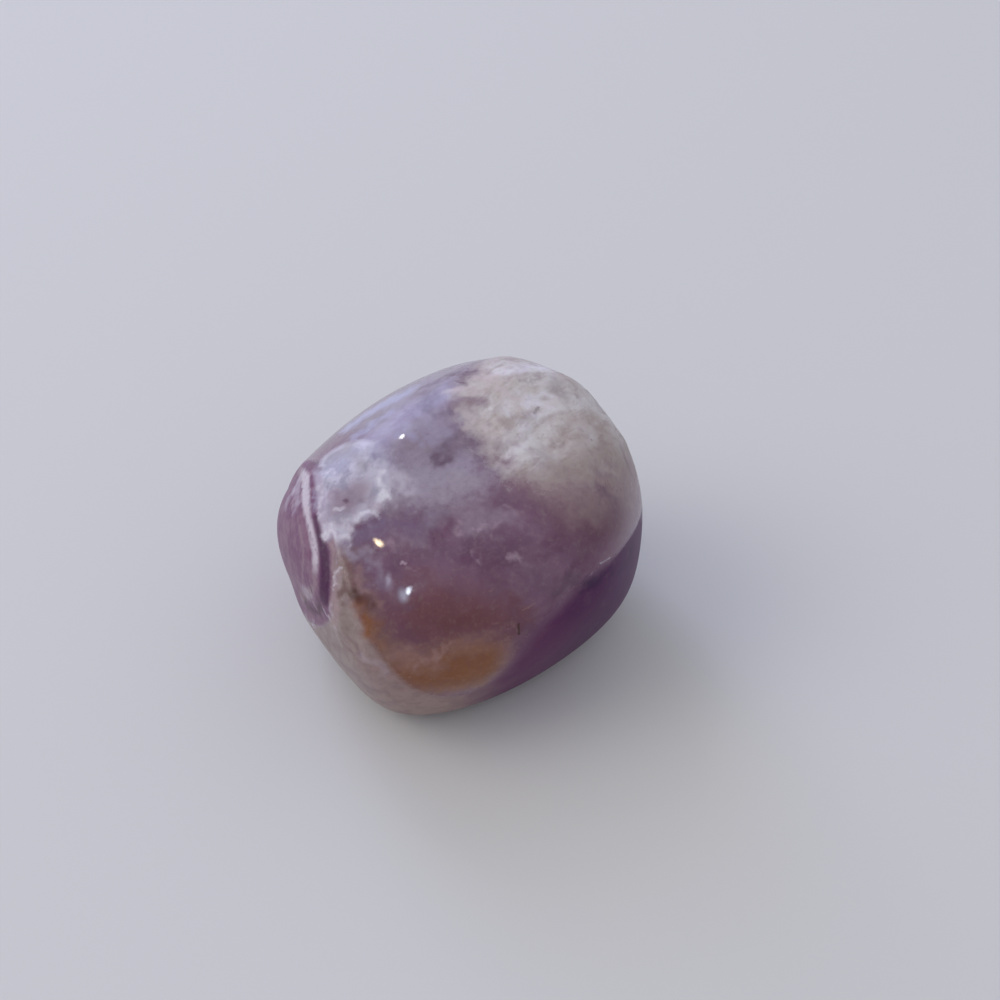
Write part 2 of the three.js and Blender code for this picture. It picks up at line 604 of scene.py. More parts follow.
class Bench:
    """Places and wires the nodes of one node tree."""

    def __init__(self, tree: bpy.types.NodeTree) -> None:
        """Keeps the tree that the nodes go into."""
        self.tree = tree

    def node(self, kind: str, **settings: object) -> bpy.types.Node:
        """Adds a node.

        Args:
            kind: The node's type name.
            settings: Its settings by name.

        Returns:
            The node.
        """
        made = self.tree.nodes.new(kind)
        for name, value in settings.items():
            setattr(made, name, value)
        return made

    def feed(self, socket: Socket, value: Given) -> None:
        """Sets a socket to a plain value, or wires another socket to it.

        Args:
            socket: The socket.
            value: The plain value or the other socket.
        """
        if isinstance(value, Socket):
            self.tree.links.new(value, socket)
        else:
            socket.default_value = value

    def sum(self, kind: str, *values: Given, clamp: bool = False) -> Socket:
        """Adds a math node.

        Args:
            kind: The operation's name.
            values: Its inputs.
            clamp: Whether the result is kept between 0 and 1.

        Returns:
            The result.
        """
        made = self.node("ShaderNodeMath", operation=kind, use_clamp=clamp)
        for socket, value in zip(made.inputs, values):
            self.feed(socket, value)
        return made.outputs[0]

    def vector(self, kind: str, *values: Given) -> bpy.types.Node:
        """Adds a vector math node.

        Args:
            kind: The operation's name.
            values: Its inputs.

        Returns:
            The node.
        """
        made = self.node("ShaderNodeVectorMath", operation=kind)
        for socket, value in zip(made.inputs, values):
            self.feed(socket, value)
        return made

    def scaled(self, place: Socket, scale: Given) -> Socket:
        """Draws a vector out by a scale.

        Args:
            place: The vector.
            scale: The scale.

        Returns:
            The longer or shorter vector.
        """
        made = self.vector("SCALE", place)
        self.feed(made.inputs["Scale"], scale)
        return made.outputs[0]

    def rise(self, value: Given, span: tuple[Given, Given]) -> Socket:
        """Grades a value smoothly from 0 to 1.

        Args:
            value: The value.
            span: Where the grading is 0 and where it is 1.

        Returns:
            The graded value.
        """
        made = self.node("ShaderNodeMapRange", interpolation_type="SMOOTHSTEP")
        for name, given in zip(("Value", "From Min", "From Max"), (value, *span)):
            self.feed(made.inputs[name], given)
        return made.outputs["Result"]

    def _mix(self, mixture: Mixture, share: Given, below: Given, above: Given) -> Socket:
        """Adds a mix node.

        Args:
            mixture: What it mixes.
            share: How much of the upper end shows, from 0 to 1.
            below: The lower end.
            above: The upper end.

        Returns:
            The mixed value.
        """
        made = self.node("ShaderNodeMix", data_type=mixture.kind)
        self.feed(made.inputs[mixture.share], share)
        self.feed(made.inputs[mixture.below], below)
        self.feed(made.inputs[mixture.above], above)
        return made.outputs[mixture.result]

    def blend(self, share: Given, below: Given, above: Given) -> Socket:
        """Returns one colour laid over another, by a share from 0 to 1."""
        return self._mix(OF_COLOURS, share, below, above)

    def level(self, share: Given, below: Given, above: Given) -> Socket:
        """Returns a number between two others, by a share from 0 to 1."""
        return self._mix(OF_NUMBERS, share, below, above)

    def fractal(self, place: Socket, pattern: Pattern) -> bpy.types.Node:
        """Adds a fractal noise.

        Args:
            place: Where it is read, in millimetres.
            pattern: Its size and how it breaks up.

        Returns:
            The node, whose results run from about 0 to 1.
        """
        made = self.node("ShaderNodeTexNoise", noise_type="FBM")
        self.feed(made.inputs["Vector"], place)
        made.inputs["Scale"].default_value = 1.0 / pattern.size
        made.inputs["Detail"].default_value = pattern.detail
        made.inputs["Roughness"].default_value = pattern.roughness
        made.inputs["Distortion"].default_value = pattern.distortion
        return made

    def attribute(self, name: str) -> bpy.types.Node:
        """Returns a node that reads a field or a layer of paint that the mesh carries."""
        return self.node("ShaderNodeAttribute", attribute_name=name, attribute_type="GEOMETRY")


class EffectGroup:
    """A shader node group with named inputs and outputs that is built once and placed often."""

    name = "effect"
    inputs: tuple[tuple[str, str, float], ...] = ()
    outputs: tuple[tuple[str, str], ...] = ()

    def __init__(self) -> None:
        """Builds the group."""
        self.tree = bpy.data.node_groups.new(self.name, "ShaderNodeTree")
        for label, kind, start in self.inputs:
            socket = self.tree.interface.new_socket(label, in_out="INPUT", socket_type=kind)
            if kind == "NodeSocketFloat":
                socket.default_value = start
        for label, kind in self.outputs:
            self.tree.interface.new_socket(label, in_out="OUTPUT", socket_type=kind)
        bench = Bench(self.tree)
        source = bench.node("NodeGroupInput")
        sink = bench.node("NodeGroupOutput")
        self.wire(bench, source.outputs, sink.inputs)

    def wire(self, bench: Bench, source: Sockets, sink: Sockets) -> None:
        """Wires the inside of the group, from what comes into it to what goes out."""
        raise NotImplementedError

    def place(self, bench: Bench, **values: Given) -> Socket:
        """Places the group in a tree.

        Args:
            bench: The tree's bench.
            values: Its inputs by name.

        Returns:
            Its first output.
        """
        made = bench.node("ShaderNodeGroup", node_tree=self.tree)
        for label, value in values.items():
            bench.feed(made.inputs[label], value)
        return made.outputs[0]


class ZoneMask(EffectGroup):
    """Turns a zone's distance field into a mask with a ragged, soft border."""

    name = "zone mask"
    inputs = (
        ("Field", "NodeSocketFloat", 0.0),
        ("Noise", "NodeSocketFloat", MID_NOISE),
        ("Reach", "NodeSocketFloat", 1.0),
        ("Softness", "NodeSocketFloat", 0.5),
    )
    outputs = (("Mask", "NodeSocketFloat"),)

    def wire(self, bench: Bench, source: Sockets, sink: Sockets) -> None:
        """Moves the border by the noise and grades it over the softness.

        Args:
            bench: The group's bench.
            source: What comes into the group.
            sink: What goes out of it.
        """
        swing = bench.sum("SUBTRACT", source["Noise"], MID_NOISE)
        swing = bench.sum("MULTIPLY", swing, 1.0 / MID_NOISE)
        moved = bench.sum("MULTIPLY_ADD", swing, source["Reach"], source["Field"])
        half = bench.sum("MULTIPLY", source["Softness"], 0.5)
        mask = bench.rise(moved, (bench.sum("MULTIPLY", half, -1.0), half))
        bench.feed(sink["Mask"], mask)


class Streak(EffectGroup):
    """A soft mark along the way from one point to another, or a spot where they are the same."""

    name = "streak"
    inputs = (
        ("Where", "NodeSocketVector", 0.0),
        ("Start", "NodeSocketVector", 0.0),
        ("End", "NodeSocketVector", 0.0),
        ("Radius", "NodeSocketFloat", 0.2),
        ("Softness", "NodeSocketFloat", 0.5),
    )
    outputs = (("Mask", "NodeSocketFloat"),)

    def wire(self, bench: Bench, source: Sockets, sink: Sockets) -> None:
        """Grades the distance from the nearest point of the way.

        Args:
            bench: The group's bench.
            source: What comes into the group.
            sink: What goes out of it.
        """
        step = bench.vector("SUBTRACT", source["End"], source["Start"]).outputs[0]
        there = bench.vector("SUBTRACT", source["Where"], source["Start"]).outputs[0]
        along = bench.vector("DOT_PRODUCT", there, step).outputs["Value"]
        whole = bench.vector("DOT_PRODUCT", step, step).outputs["Value"]
        share = bench.sum("DIVIDE", along, bench.sum("MAXIMUM", whole, TINY), clamp=True)
        apart = bench.vector("DISTANCE", there, bench.scaled(step, share)).outputs["Value"]
        firm = bench.sum("SUBTRACT", 1.0, source["Softness"])
        core = bench.sum("MULTIPLY", source["Radius"], firm)
        away = bench.rise(apart, (core, source["Radius"]))
        bench.feed(sink["Mask"], bench.sum("SUBTRACT", 1.0, away))


# ---- Finish ----------------------------------------------------------------------------------


class Tint(Enum):
    """The colours of the small marks, as a painter reads them."""

    WHITE = (232, 227, 235)
    PINK_WHITE = (208, 192, 192)
    PALE = (196, 186, 200)
    GREY = (158, 146, 150)
    TAN = (166, 146, 140)
    PINK = (160, 120, 112)
    ROSE = (150, 124, 140)
    MAUVE = (118, 76, 108)
    HAZE = (171, 160, 174)
    LILAC = (160, 150, 172)
    # A blue white that paints the window's reflection on the upper left edge: a painted sheen.
    PAINTED_SHEEN = (180, 180, 216)
    SHADE = (110, 80, 102)
    DEEP = (84, 52, 78)
    VIOLET_HAZE = (128, 112, 142)
    VIOLET = (90, 34, 82)
    VIOLET_DEEP = (56, 10, 66)
    WINE = (110, 56, 60)
    ORANGE = (138, 78, 14)
    UMBER = (72, 26, 14)
    OXBLOOD = (60, 14, 8)
    PIT = (120, 104, 108)
    BLUSH = (180, 154, 168)
    HONEY = (150, 100, 52)
    BARK = (120, 92, 86)


@dataclass(frozen=True)
class Mark:
    """A small mark on the skin: a spot, or a streak where it has a second end.

    Its ends are bearings from the heart, its radius is in millimetres, and its softness is how
    much of the radius it fades over.
    """

    start: tuple[float, float]
    radius: float
    tint: Tint
    strength: float
    end: tuple[float, float] | None = None
    softness: float = 0.95

    def share(self, places: Points, start: np.ndarray, end: np.ndarray) -> np.ndarray:
        """Finds how strongly the mark shows.

        Args:
            places: The points where it is read, in millimetres.
            start: Where the mark starts.
            end: Where it ends.

        Returns:
            The share at each place, from 0 to its strength.
        """
        step = end - start
        along = np.clip((places - start) @ step / max(step @ step, TINY), 0.0, 1.0)
        apart = np.linalg.norm(places - start - along[:, None] * step, axis=1)
        core = self.radius * (1.0 - self.softness)
        return self.strength * (1.0 - smooth_between(core, self.radius, apart))


@dataclass(frozen=True)
class Palette:
    """The stone's colours, as a painter reads them."""

    violet_dark: Paint = (104, 62, 90)
    violet_light: Paint = (128, 92, 116)
    haze_grey: Paint = (150, 136, 150)
    haze_lilac: Paint = (162, 150, 170)
    veil: Paint = (176, 166, 182)
    maroon: Paint = (108, 56, 62)
    maroon_red: Paint = (118, 66, 74)
    honey_deep: Paint = (134, 76, 16)
    honey_pale: Paint = (152, 108, 74)
    seam: Paint = (128, 94, 80)
    smoke_pale: Paint = (156, 134, 138)
    smoke_deep: Paint = (112, 78, 92)
    cloud_white: Paint = (218, 212, 212)
    cloud_warm: Paint = (200, 188, 184)
    cloud_grey: Paint = (162, 146, 142)
    milk_white: Paint = (200, 193, 207)
    milk_grey: Paint = (164, 158, 175)
    milk_heart: Paint = (158, 138, 154)
    bevel_milk: Paint = (162, 147, 143)
    bevel_grey: Paint = (164, 138, 134)
    bevel_mauve: Paint = (132, 108, 110)
    bevel_violet: Paint = (98, 44, 88)
    bevel_deep: Paint = (78, 22, 78)
    end_mauve: Paint = (120, 78, 110)
    end_rose: Paint = (140, 106, 126)
    end_cream: Paint = (152, 128, 138)
    end_white: Paint = (214, 204, 212)
    end_lilac: Paint = (186, 175, 192)
    end_dark: Paint = (82, 46, 78)
    lip: Paint = (171, 149, 150)


UNDER_MARKS: tuple[Mark, ...] = (
    Mark((-21.7, 77.6), 1.7, Tint.SHADE, 0.5, (106.9, 87.5)),
    Mark((-32.1, 72.4), 0.7, Tint.DEEP, 0.6, (-23.9, 77.3)),
    Mark((-38.5, 80), 0.6, Tint.DEEP, 0.4, (-34.8, 83.9)),
    Mark((-103.9, 76.6), 1.1, Tint.LILAC, 0.6, (-55.9, 80.9)),
    # A faint painted sheen, bluish, beside the window's reflection.
    Mark((-90.8, 68.1), 0.9, Tint.PAINTED_SHEEN, 0.35, (-70.6, 74.9)),
    Mark((-55.3, 60.2), 0.9, Tint.PALE, 0.6, (-42.9, 60.2)),
    Mark((-26.8, 64.7), 0.9, Tint.SHADE, 0.3, (-21.2, 69.1)),
    Mark((-10.2, 61.1), 1.1, Tint.HAZE, 0.55, (6.7, 67.2)),
    Mark((7.4, 64.7), 0.25, Tint.PALE, 0.5, (10.1, 67.4), 0.9),
    Mark((18.2, 66.7), 1.1, Tint.HAZE, 0.35, (41.9, 66.6)),
    Mark((-40.8, 51), 1.5, Tint.HAZE, 0.5, (-19.5, 67.5)),
    Mark((-42.7, 52.6), 0.7, Tint.PALE, 0.2, (-37.3, 59.8)),
    Mark((-38.5, 50.5), 0.7, Tint.SHADE, 0.3, (-33.7, 55.7)),
    Mark((-37.3, 40.7), 1.5, Tint.VIOLET_HAZE, 0.45, (-16.6, 50.5), 0.97),
    Mark((-17, 51.3), 1.6, Tint.HAZE, 0.35, (7.3, 56), 0.97),
    Mark((-17.4, 45.9), 0.9, Tint.SHADE, 0.35, (-10.8, 50.6), 0.97),
    Mark((6.1, 48.4), 1.4, Tint.HAZE, 0.35, (26.2, 49.3), 0.97),
    Mark((6.2, 57), 1.2, Tint.HAZE, 0.12, (30.7, 59.1), 0.97),
    Mark((-19.8, 58.8), 1.3, Tint.HAZE, 0.35, (6.5, 65.1), 0.97),
    Mark((-43.5, 37.3), 0.9, Tint.VIOLET_HAZE, 0.5, (-40.1, 44.4), 0.97),
    Mark((-37.2, 28.5), 0.7, Tint.BARK, 0.35, (-30.9, 26.4), 0.97),
    Mark((17, 61.7), 0.8, Tint.PALE, 0.2, (33.3, 61.3)),
    Mark((-26.2, 39.6), 1.0, Tint.HAZE, 0.25, (-16.2, 43.3), 0.97),
    Mark((-14.4, 37.9), 1.1, Tint.SHADE, 0.4, (5.4, 42.7)),
    Mark((10, 41.1), 0.8, Tint.SHADE, 0.3, (18.1, 38.7)),
    Mark((19, 40.9), 1.5, Tint.SHADE, 0.4, (32.6, 25.2)),
    Mark((31.2, 55.7), 1.1, Tint.SHADE, 0.45, (47.4, 47)),
    Mark((50.6, 60.6), 1.6, Tint.MAUVE, 0.25, (49.7, 41.7), 0.97),
    Mark((30.2, 37.3), 1.1, Tint.ROSE, 0.2, (42.7, 42.9)),
    Mark((31.6, 42.5), 1.0, Tint.SHADE, 0.35, (40.6, 42.4), 0.97),
    Mark((-26.8, 37.2), 0.9, Tint.SHADE, 0.45, (-17.8, 24.6)),
    Mark((-45, 31.8), 1.1, Tint.HAZE, 0.5, (-34, 33.7)),
    Mark((-45.8, 34.1), 0.7, Tint.LILAC, 0.5, (-36.8, 31.5)),
    Mark((-33.2, 32.5), 0.7, Tint.LILAC, 0.35, (-25, 27.5)),
    Mark((-36, 28.1), 0.7, Tint.VIOLET_HAZE, 0.3, (-28.6, 25.4)),
    Mark((-16.7, 33.3), 1.0, Tint.WINE, 0.3, (-2.8, 25.2), 0.97),
    Mark((-12.5, 21.6), 1.6, Tint.WINE, 0.45, (7.3, 18.1)),
    Mark((-1.1, 16.9), 1.0, Tint.WINE, 0.35, (14.1, 15.7)),
    Mark((19.3, 23.3), 0.9, Tint.WINE, 0.5, (25.4, 11.1)),
    Mark((13.7, 7.9), 0.9, Tint.WINE, 0.45, (19.7, 10.7)),
    Mark((-16, 8.3), 1.4, Tint.PINK, 0.5, (-6.8, 3.7), 0.97),
    Mark((-1.2, 8.6), 1.0, Tint.PINK, 0.25, (6.1, 5.9), 0.97),
    Mark((-2.2, -1.5), 1.1, Tint.ORANGE, 0.5, (8.6, -5.7), 0.97),
    Mark((-11.8, 3.9), 0.4, Tint.PINK, 0.6, (-7.5, 6.9), 0.85),
    Mark((-7.5, 6.9), 0.25, Tint.PINK, 0.6, (-2, 10.9), 0.85),
    Mark((14, 15), 0.18, Tint.PINK, 0.4, (17.8, 12.6), 0.9),
    # These two marks paint the blue sheen along the upper left edge: a painted reflection of the
    # window, added to what the window lamp mirrors there.
    Mark((-118, 37.8), 1.6, Tint.PAINTED_SHEEN, 0.85, (-141.9, 54.3)),
    Mark((-99.9, 48.7), 1.0, Tint.PAINTED_SHEEN, 0.6, (-115.7, 57.9)),
    # The marks from here to the end of this table darken the upper left edge and the border of the
    # blue sheen, where the window lamp and the floor are mirrored: painted shade that dims those
    # reflections.
    Mark((-97.2, 64.9), 0.9, Tint.SHADE, 0.35, (-112.3, 71.2), 0.97),
    Mark((-120.7, 69.6), 1.3, Tint.DEEP, 0.45, (-162.7, 70.7), 0.97),
    Mark((-135.5, 73.6), 1.2, Tint.DEEP, 0.6, (-165.8, 73), 0.97),
    Mark((-104.3, 65.6), 0.8, Tint.MAUVE, 0.3, (-121.2, 70.4), 0.97),
    Mark((-132.5, 80.6), 0.9, Tint.DEEP, 0.4, (153.8, 80.4), 0.97),
    Mark((-154.5, 60.3), 0.7, Tint.DEEP, 0.5, (-178, 64.1)),
)

OVER_MARKS: tuple[Mark, ...] = (
    Mark((176.9, 66.8), 0.5, Tint.SHADE, 0.6, (167.2, 63.5), 0.9),
    Mark((161.8, 69), 0.55, Tint.PINK_WHITE, 0.5, (147.2, 66.3)),
    Mark((145.4, 64.9), 0.9, Tint.WHITE, 0.8, (135.3, 51.8)),
    Mark((135.4, 65.6), 0.26, Tint.GREY, 0.6, (128.9, 59.4)),
    Mark((-165.8, 73), 0.9, Tint.PINK_WHITE, 0.6, (164.3, 74.9)),
    Mark((-160.7, 80), 0.8, Tint.MAUVE, 0.5, (140.1, 78.9), 0.97),
    Mark((-165.8, 83.6), 0.8, Tint.PINK_WHITE, 0.35, (116.8, 81.9)),
    Mark((116, 85.8), 0.9, Tint.PINK_WHITE, 0.5, (80.7, 76.9), 0.97),
    Mark((134.8, 71.6), 0.6, Tint.PINK_WHITE, 0.45, (117.8, 69.5)),
    Mark((115, 76.8), 0.7, Tint.WHITE, 0.55, (112.6, 72.1)),
    Mark((92.7, 71), 0.36, Tint.GREY, 0.45, (103.3, 65.8)),
    Mark((113.9, 65.9), 0.9, Tint.WHITE, 0.75, (114.4, 58.6), 0.97),
    Mark((92.5, 67.6), 0.9, Tint.WHITE, 0.65, (105.2, 61.4), 0.97),
    Mark((63.6, 73.2), 0.8, Tint.ROSE, 0.45, (75.4, 70.3), 0.97),
    Mark((67.5, 68), 0.8, Tint.WHITE, 0.3, (85.1, 65.8), 0.97),
    Mark((125.1, 55.1), 0.9, Tint.GREY, 0.55, (109, 54.2), 0.97),
    Mark((63.1, 78.2), 0.7, Tint.MAUVE, 0.25, (54.2, 70.2), 0.97),
    Mark((50.6, 67.7), 0.6, Tint.ROSE, 0.35, (71.2, 63.3), 0.97),
    Mark((71.5, 76.4), 0.5, Tint.GREY, 0.35, (64.8, 70.3)),
    Mark((47.4, 76.2), 0.5, Tint.PINK_WHITE, 0.3, (49.3, 69.6)),
    Mark((70.6, 59.4), 0.9, Tint.GREY, 0.4, (68, 51.3)),
    Mark((79.7, 55.6), 0.7, Tint.TAN, 0.5, (86.8, 51.9), 0.97),
    Mark((84, 57.2), 0.24, Tint.GREY, 0.6, (83.4, 53.3)),
    Mark((97.7, 60.7), 0.4, Tint.GREY, 0.35, (102.6, 56.3)),
    Mark((91.8, 55.9), 1.0, Tint.TAN, 0.4, (102.8, 45.6), 0.97),
    Mark((88.7, 48.8), 0.8, Tint.TAN, 0.5, (98.3, 43.3), 0.97),
    Mark((70.1, 52), 1.4, Tint.TAN, 0.5, (88.2, 41.3), 0.97),
    Mark((99.5, 43.3), 0.9, Tint.TAN, 0.5, (93.1, 37.1), 0.97),
    Mark((97.6, 53.2), 0.4, Tint.PINK_WHITE, 0.4, (98.5, 47.2), 0.97),
    Mark((73.1, 42.4), 0.9, Tint.TAN, 0.35, (78.3, 33.7), 0.97),
    Mark((83.7, 39.8), 0.6, Tint.PINK_WHITE, 0.3, (86.8, 31.3), 0.97),
    Mark((71.6, 36.5), 0.9, Tint.SHADE, 0.5, (73, 26.8), 0.97),
    Mark((98.3, 31.1), 0.6, Tint.SHADE, 0.4, (95.7, 24.2), 0.97),
    Mark((52, 56.7), 1.6, Tint.TAN, 0.25, (64.4, 33.5), 0.98),
    Mark((77.4, 31.6), 0.6, Tint.TAN, 0.35, (85.7, 18.5), 0.97),
    Mark((42.9, 30), 1.0, Tint.SHADE, 0.35, (55.2, 25.8), 0.97),
    Mark((51.9, 37.8), 1.1, Tint.TAN, 0.22, (60.9, 36.2), 0.97),
    Mark((35.4, 20.2), 0.9, Tint.DEEP, 0.6, (43.4, 21.7)),
    Mark((46.5, 16.7), 0.85, Tint.VIOLET_DEEP, 0.85, (77, 5.6), 0.9),
    Mark((54.5, 16.1), 0.6, Tint.VIOLET_DEEP, 0.6, (59.4, 14.7), 0.9),
    Mark((21.6, -10.5), 1.0, Tint.VIOLET, 0.4, (49, 3.2), 0.97),
    Mark((-45.7, 28.9), 0.45, Tint.BARK, 0.5, (-39.7, 26.8)),
    Mark((-39.7, 26.8), 0.35, Tint.BARK, 0.6, (-34.9, 23.6), 0.9),
    Mark((-34.6, 23.5), 0.9, Tint.UMBER, 0.75, (-27, 21.8), 0.97),
    Mark((-33.7, 23.2), 0.6, Tint.UMBER, 0.9, (-30.1, 22.6), 0.97),
    Mark((-36.9, 24.4), 0.4, Tint.BARK, 0.7, (-34.4, 21.6)),
    Mark((-36.2, 27.8), 0.5, Tint.PINK, 0.45, (-24.5, 23.4)),
    Mark((-29, 20.9), 1.0, Tint.ORANGE, 0.5, (-22.5, 13.4), 0.97),
    Mark((-26.9, 18.7), 0.6, Tint.ORANGE, 0.55, (-24, 15.5)),
    Mark((-22.5, 13.4), 0.6, Tint.PINK, 0.3, (-18.6, 8.1)),
    Mark((-57.3, 55.1), 0.55, Tint.WHITE, 0.85, (-47.2, 52.4), 0.9),
    Mark((-58, 52.6), 0.5, Tint.WHITE, 0.5, (-52.4, 52.9)),
    Mark((-47.2, 52.4), 0.4, Tint.WHITE, 0.55, (-44.4, 42.4), 0.9),
    Mark((-76.8, 39.1), 0.5, Tint.WHITE, 0.5, (-62.5, 35.4)),
    Mark((-62.5, 35.4), 0.45, Tint.WHITE, 0.5, (-52.5, 32)),
    Mark((-89.6, 45.2), 1.2, Tint.GREY, 0.6, (-76.2, 53.5), 0.97),
    Mark((-81.5, 61.7), 1.0, Tint.VIOLET_HAZE, 0.5, (-58.9, 61.5), 0.97),
    Mark((-65.1, 42.4), 0.9, Tint.ROSE, 0.55, (-53.1, 41.8), 0.97),
    Mark((-57.2, 35.8), 0.5, Tint.ROSE, 0.35, (-50.7, 38.2)),
    Mark((-59.5, 43.5), 0.34, Tint.SHADE, 0.85, (-55.9, 43.4), 0.9),
    Mark((-56.6, 43.5), 0.26, Tint.SHADE, 0.7, (-56.5, 45.7), 0.9),
    Mark((-52.7, 46.8), 0.7, Tint.ROSE, 0.4, (-44.9, 47.1)),
    Mark((-53.4, 46), 0.5, Tint.SHADE, 0.4, (-48.8, 45.1), 0.97),
    Mark((-54.5, 60.6), 0.8, Tint.PALE, 0.6, (-42.5, 58.5), 0.97),
    Mark((-8.7, -7.5), 0.6, Tint.HONEY, 0.35, (8.9, -13.5), 0.97),
    Mark((-15.3, 4.1), 0.6, Tint.PINK, 0.3, (-9.9, -0.6), 0.97),
    Mark((-55.5, 39.4), 0.45, Tint.WHITE, 0.65, (-47.7, 43), 0.9),
    Mark((-54.5, 42), 0.25, Tint.WHITE, 0.55, (-54.2, 43.9), 0.9),
    Mark((-51.7, 37.6), 0.4, Tint.WHITE, 0.5, (-47.1, 38.1)),
    Mark((-53.4, 33), 0.45, Tint.WHITE, 0.65, (-45.8, 35.3), 0.9),
    Mark((-79.7, 36.6), 0.34, Tint.LILAC, 0.8, (-65.3, 32.6), 0.9),
    Mark((-64.5, 38.3), 0.4, Tint.PALE, 0.4, (-56.1, 35.8)),
    Mark((-80.7, 44.8), 0.3, Tint.WHITE, 0.5, softness=0.9),
    Mark((-93.4, 30.7), 0.7, Tint.SHADE, 0.75, (-84.7, 36.8)),
    Mark((-83.6, 31.2), 0.35, Tint.WHITE, 0.75, (-78.2, 31.2), 0.9),
    Mark((-69.4, 31.2), 0.13, Tint.MAUVE, 0.6, (-60.1, 29.1), 0.9),
    Mark((-60.1, 29.1), 0.13, Tint.MAUVE, 0.5, (-51.5, 24.4), 0.9),
    Mark((-57.1, -0.3), 0.85, Tint.DEEP, 0.85, (-43, 11.7), 0.9),
    Mark((-57.1, -0.3), 0.6, Tint.OXBLOOD, 0.4, (-43.8, 11.2)),
    Mark((-46.3, 14.4), 0.6, Tint.DEEP, 0.7, (-43.2, 13.1)),
    Mark((-58.7, 8.1), 0.6, Tint.PALE, 0.45, (-51.5, 9.6)),
    Mark((-70.6, -17.2), 0.28, Tint.PALE, 0.7, (-50.2, -2.4), 0.9),
    Mark((-70.8, 25), 0.7, Tint.MAUVE, 0.5, (-67.2, 11.7)),
    Mark((-85.2, 21), 0.9, Tint.PALE, 0.5, (-88.9, 25.2), 0.97),
    Mark((-88.9, 25.2), 0.8, Tint.PALE, 0.55, (-75.8, 26.8)),
    Mark((-40.8, 25.7), 0.28, Tint.WHITE, 0.6, (-40.1, 23.5)),
    Mark((-41.9, 13.3), 0.26, Tint.WHITE, 0.6, (-39.5, 12.1)),
    Mark((-38.4, 17.9), 0.26, Tint.PALE, 0.55, (-36.9, 9.7)),
    Mark((-48.3, 31.2), 0.2, Tint.PALE, 0.3, (-43.7, 28.1)),
    Mark((-50.9, -5.8), 1.0, Tint.BARK, 0.35, (-39, -8.6), 0.97),
    Mark((-34.8, 17.2), 0.6, Tint.BARK, 0.3, (-30.6, 10.7), 0.97),
    Mark((-26.5, 8.8), 0.7, Tint.PALE, 0.25, (-20.1, 2.9), 0.97),
    Mark((-29.9, 11.3), 0.5, Tint.MAUVE, 0.2, (-26.4, 5.3), 0.97),
    Mark((11.5, 49.7), 0.34, Tint.BLUSH, 0.6, (11.2, 47.6)),
    Mark((-2.1, 49.7), 0.4, Tint.BLUSH, 0.42, (0.6, 47.6)),
    Mark((19.2, 46.9), 0.34, Tint.BLUSH, 0.4, (16.6, 45.3)),
    Mark((30.7, 53.5), 0.34, Tint.BLUSH, 0.4, (29, 51.4)),
    Mark((29.3, 43.7), 0.4, Tint.BLUSH, 0.35),
    Mark((7.7, 38.2), 0.34, Tint.BLUSH, 0.42, (7.2, 36.1)),
    Mark((23.5, 35.9), 0.45, Tint.BLUSH, 0.6, (23.7, 35), 0.9),
    Mark((25.6, 32.7), 0.6, Tint.BLUSH, 0.15, (28.4, 29.5), 0.97),
    Mark((20.9, 30.4), 0.6, Tint.BLUSH, 0.1, (21.8, 26.7), 0.97),
    Mark((-19.2, 34.1), 0.24, Tint.BLUSH, 0.25, (-17.9, 34.4)),
    # This mark paints the glow round the warm glint: a painted highlight.
    Mark((-31.7, 37.6), 0.5, Tint.BLUSH, 0.4, (-29.5, 37), 0.97),
)

FINE_MARKS: tuple[Mark, ...] = (
    Mark((11.9, 26.6), 0.16, Tint.PINK, 0.35, softness=0.9),
    Mark((-23, 34.3), 0.17, Tint.BLUSH, 0.7, (-22.7, 34.9), 0.85),
    Mark((-22.7, 34.9), 0.16, Tint.BLUSH, 0.7, (-21.1, 34.6), 0.85),
    Mark((-14, 0.3), 0.12, Tint.PINK, 0.6, softness=0.9),
    Mark((27.4, 18.1), 0.13, Tint.PINK, 0.4, (22.7, 17.1)),
    Mark((20.7, 12.1), 0.13, Tint.OXBLOOD, 0.95, (20.5, 7.7), 0.8),
    Mark((59.1, 19.1), 0.13, Tint.PALE, 0.5, (54, 20.7), 0.9),
    Mark((51.4, 19.5), 0.12, Tint.PALE, 0.25, (49.4, 19.3), 0.9),
    Mark((42.2, 21), 0.2, Tint.SHADE, 0.5, (45.1, 22.1), 0.9),
    Mark((-34.1, 7.9), 0.1, Tint.SHADE, 0.55, (-29.2, 7.1), 0.9),
    Mark((-33.4, 23.1), 0.38, Tint.UMBER, 0.6, (-30.7, 22.2)),
    Mark((103.5, 64.1), 0.17, Tint.PIT, 0.7, (107.1, 62.7), 0.9),
    Mark((92.5, 60.5), 0.13, Tint.PIT, 0.6, (93.7, 58.7), 0.9),
    Mark((87.2, 61.1), 0.14, Tint.GREY, 0.7, (84.3, 61.1), 0.9),
    Mark((91.1, 45.6), 0.15, Tint.PIT, 0.6, softness=0.9),
    Mark((81.3, 56.9), 0.11, Tint.WHITE, 0.6, softness=0.9),
    Mark((88.4, 37.1), 0.13, Tint.PIT, 0.5, softness=0.9),
    Mark((96.2, 28.4), 0.15, Tint.PIT, 0.5, (96.2, 26.7), 0.9),
    Mark((95.7, 22.5), 0.17, Tint.PIT, 0.6, (96.2, 19.5), 0.9),
    Mark((-51, 14.4), 0.16, Tint.DEEP, 0.8, (-50.4, 13.2), 0.8),
)


class Paintwork(Enum):
    """The layers of soft marks that the mesh carries, under the names of their attributes."""

    UNDER = "marks_under"
    OVER = "marks_over"


SOFT_MARKS: dict[Paintwork, tuple[Mark, ...]] = {
    Paintwork.UNDER: UNDER_MARKS,
    Paintwork.OVER: OVER_MARKS,
}


@dataclass(frozen=True)
class Cover:
    """How a zone covers what is below it.

    Its border wanders by the reach and fades over the softness, both in millimetres, and the
    strength is how much of it shows.
    """

    reach: float
    softness: float
    strength: float = 1.0


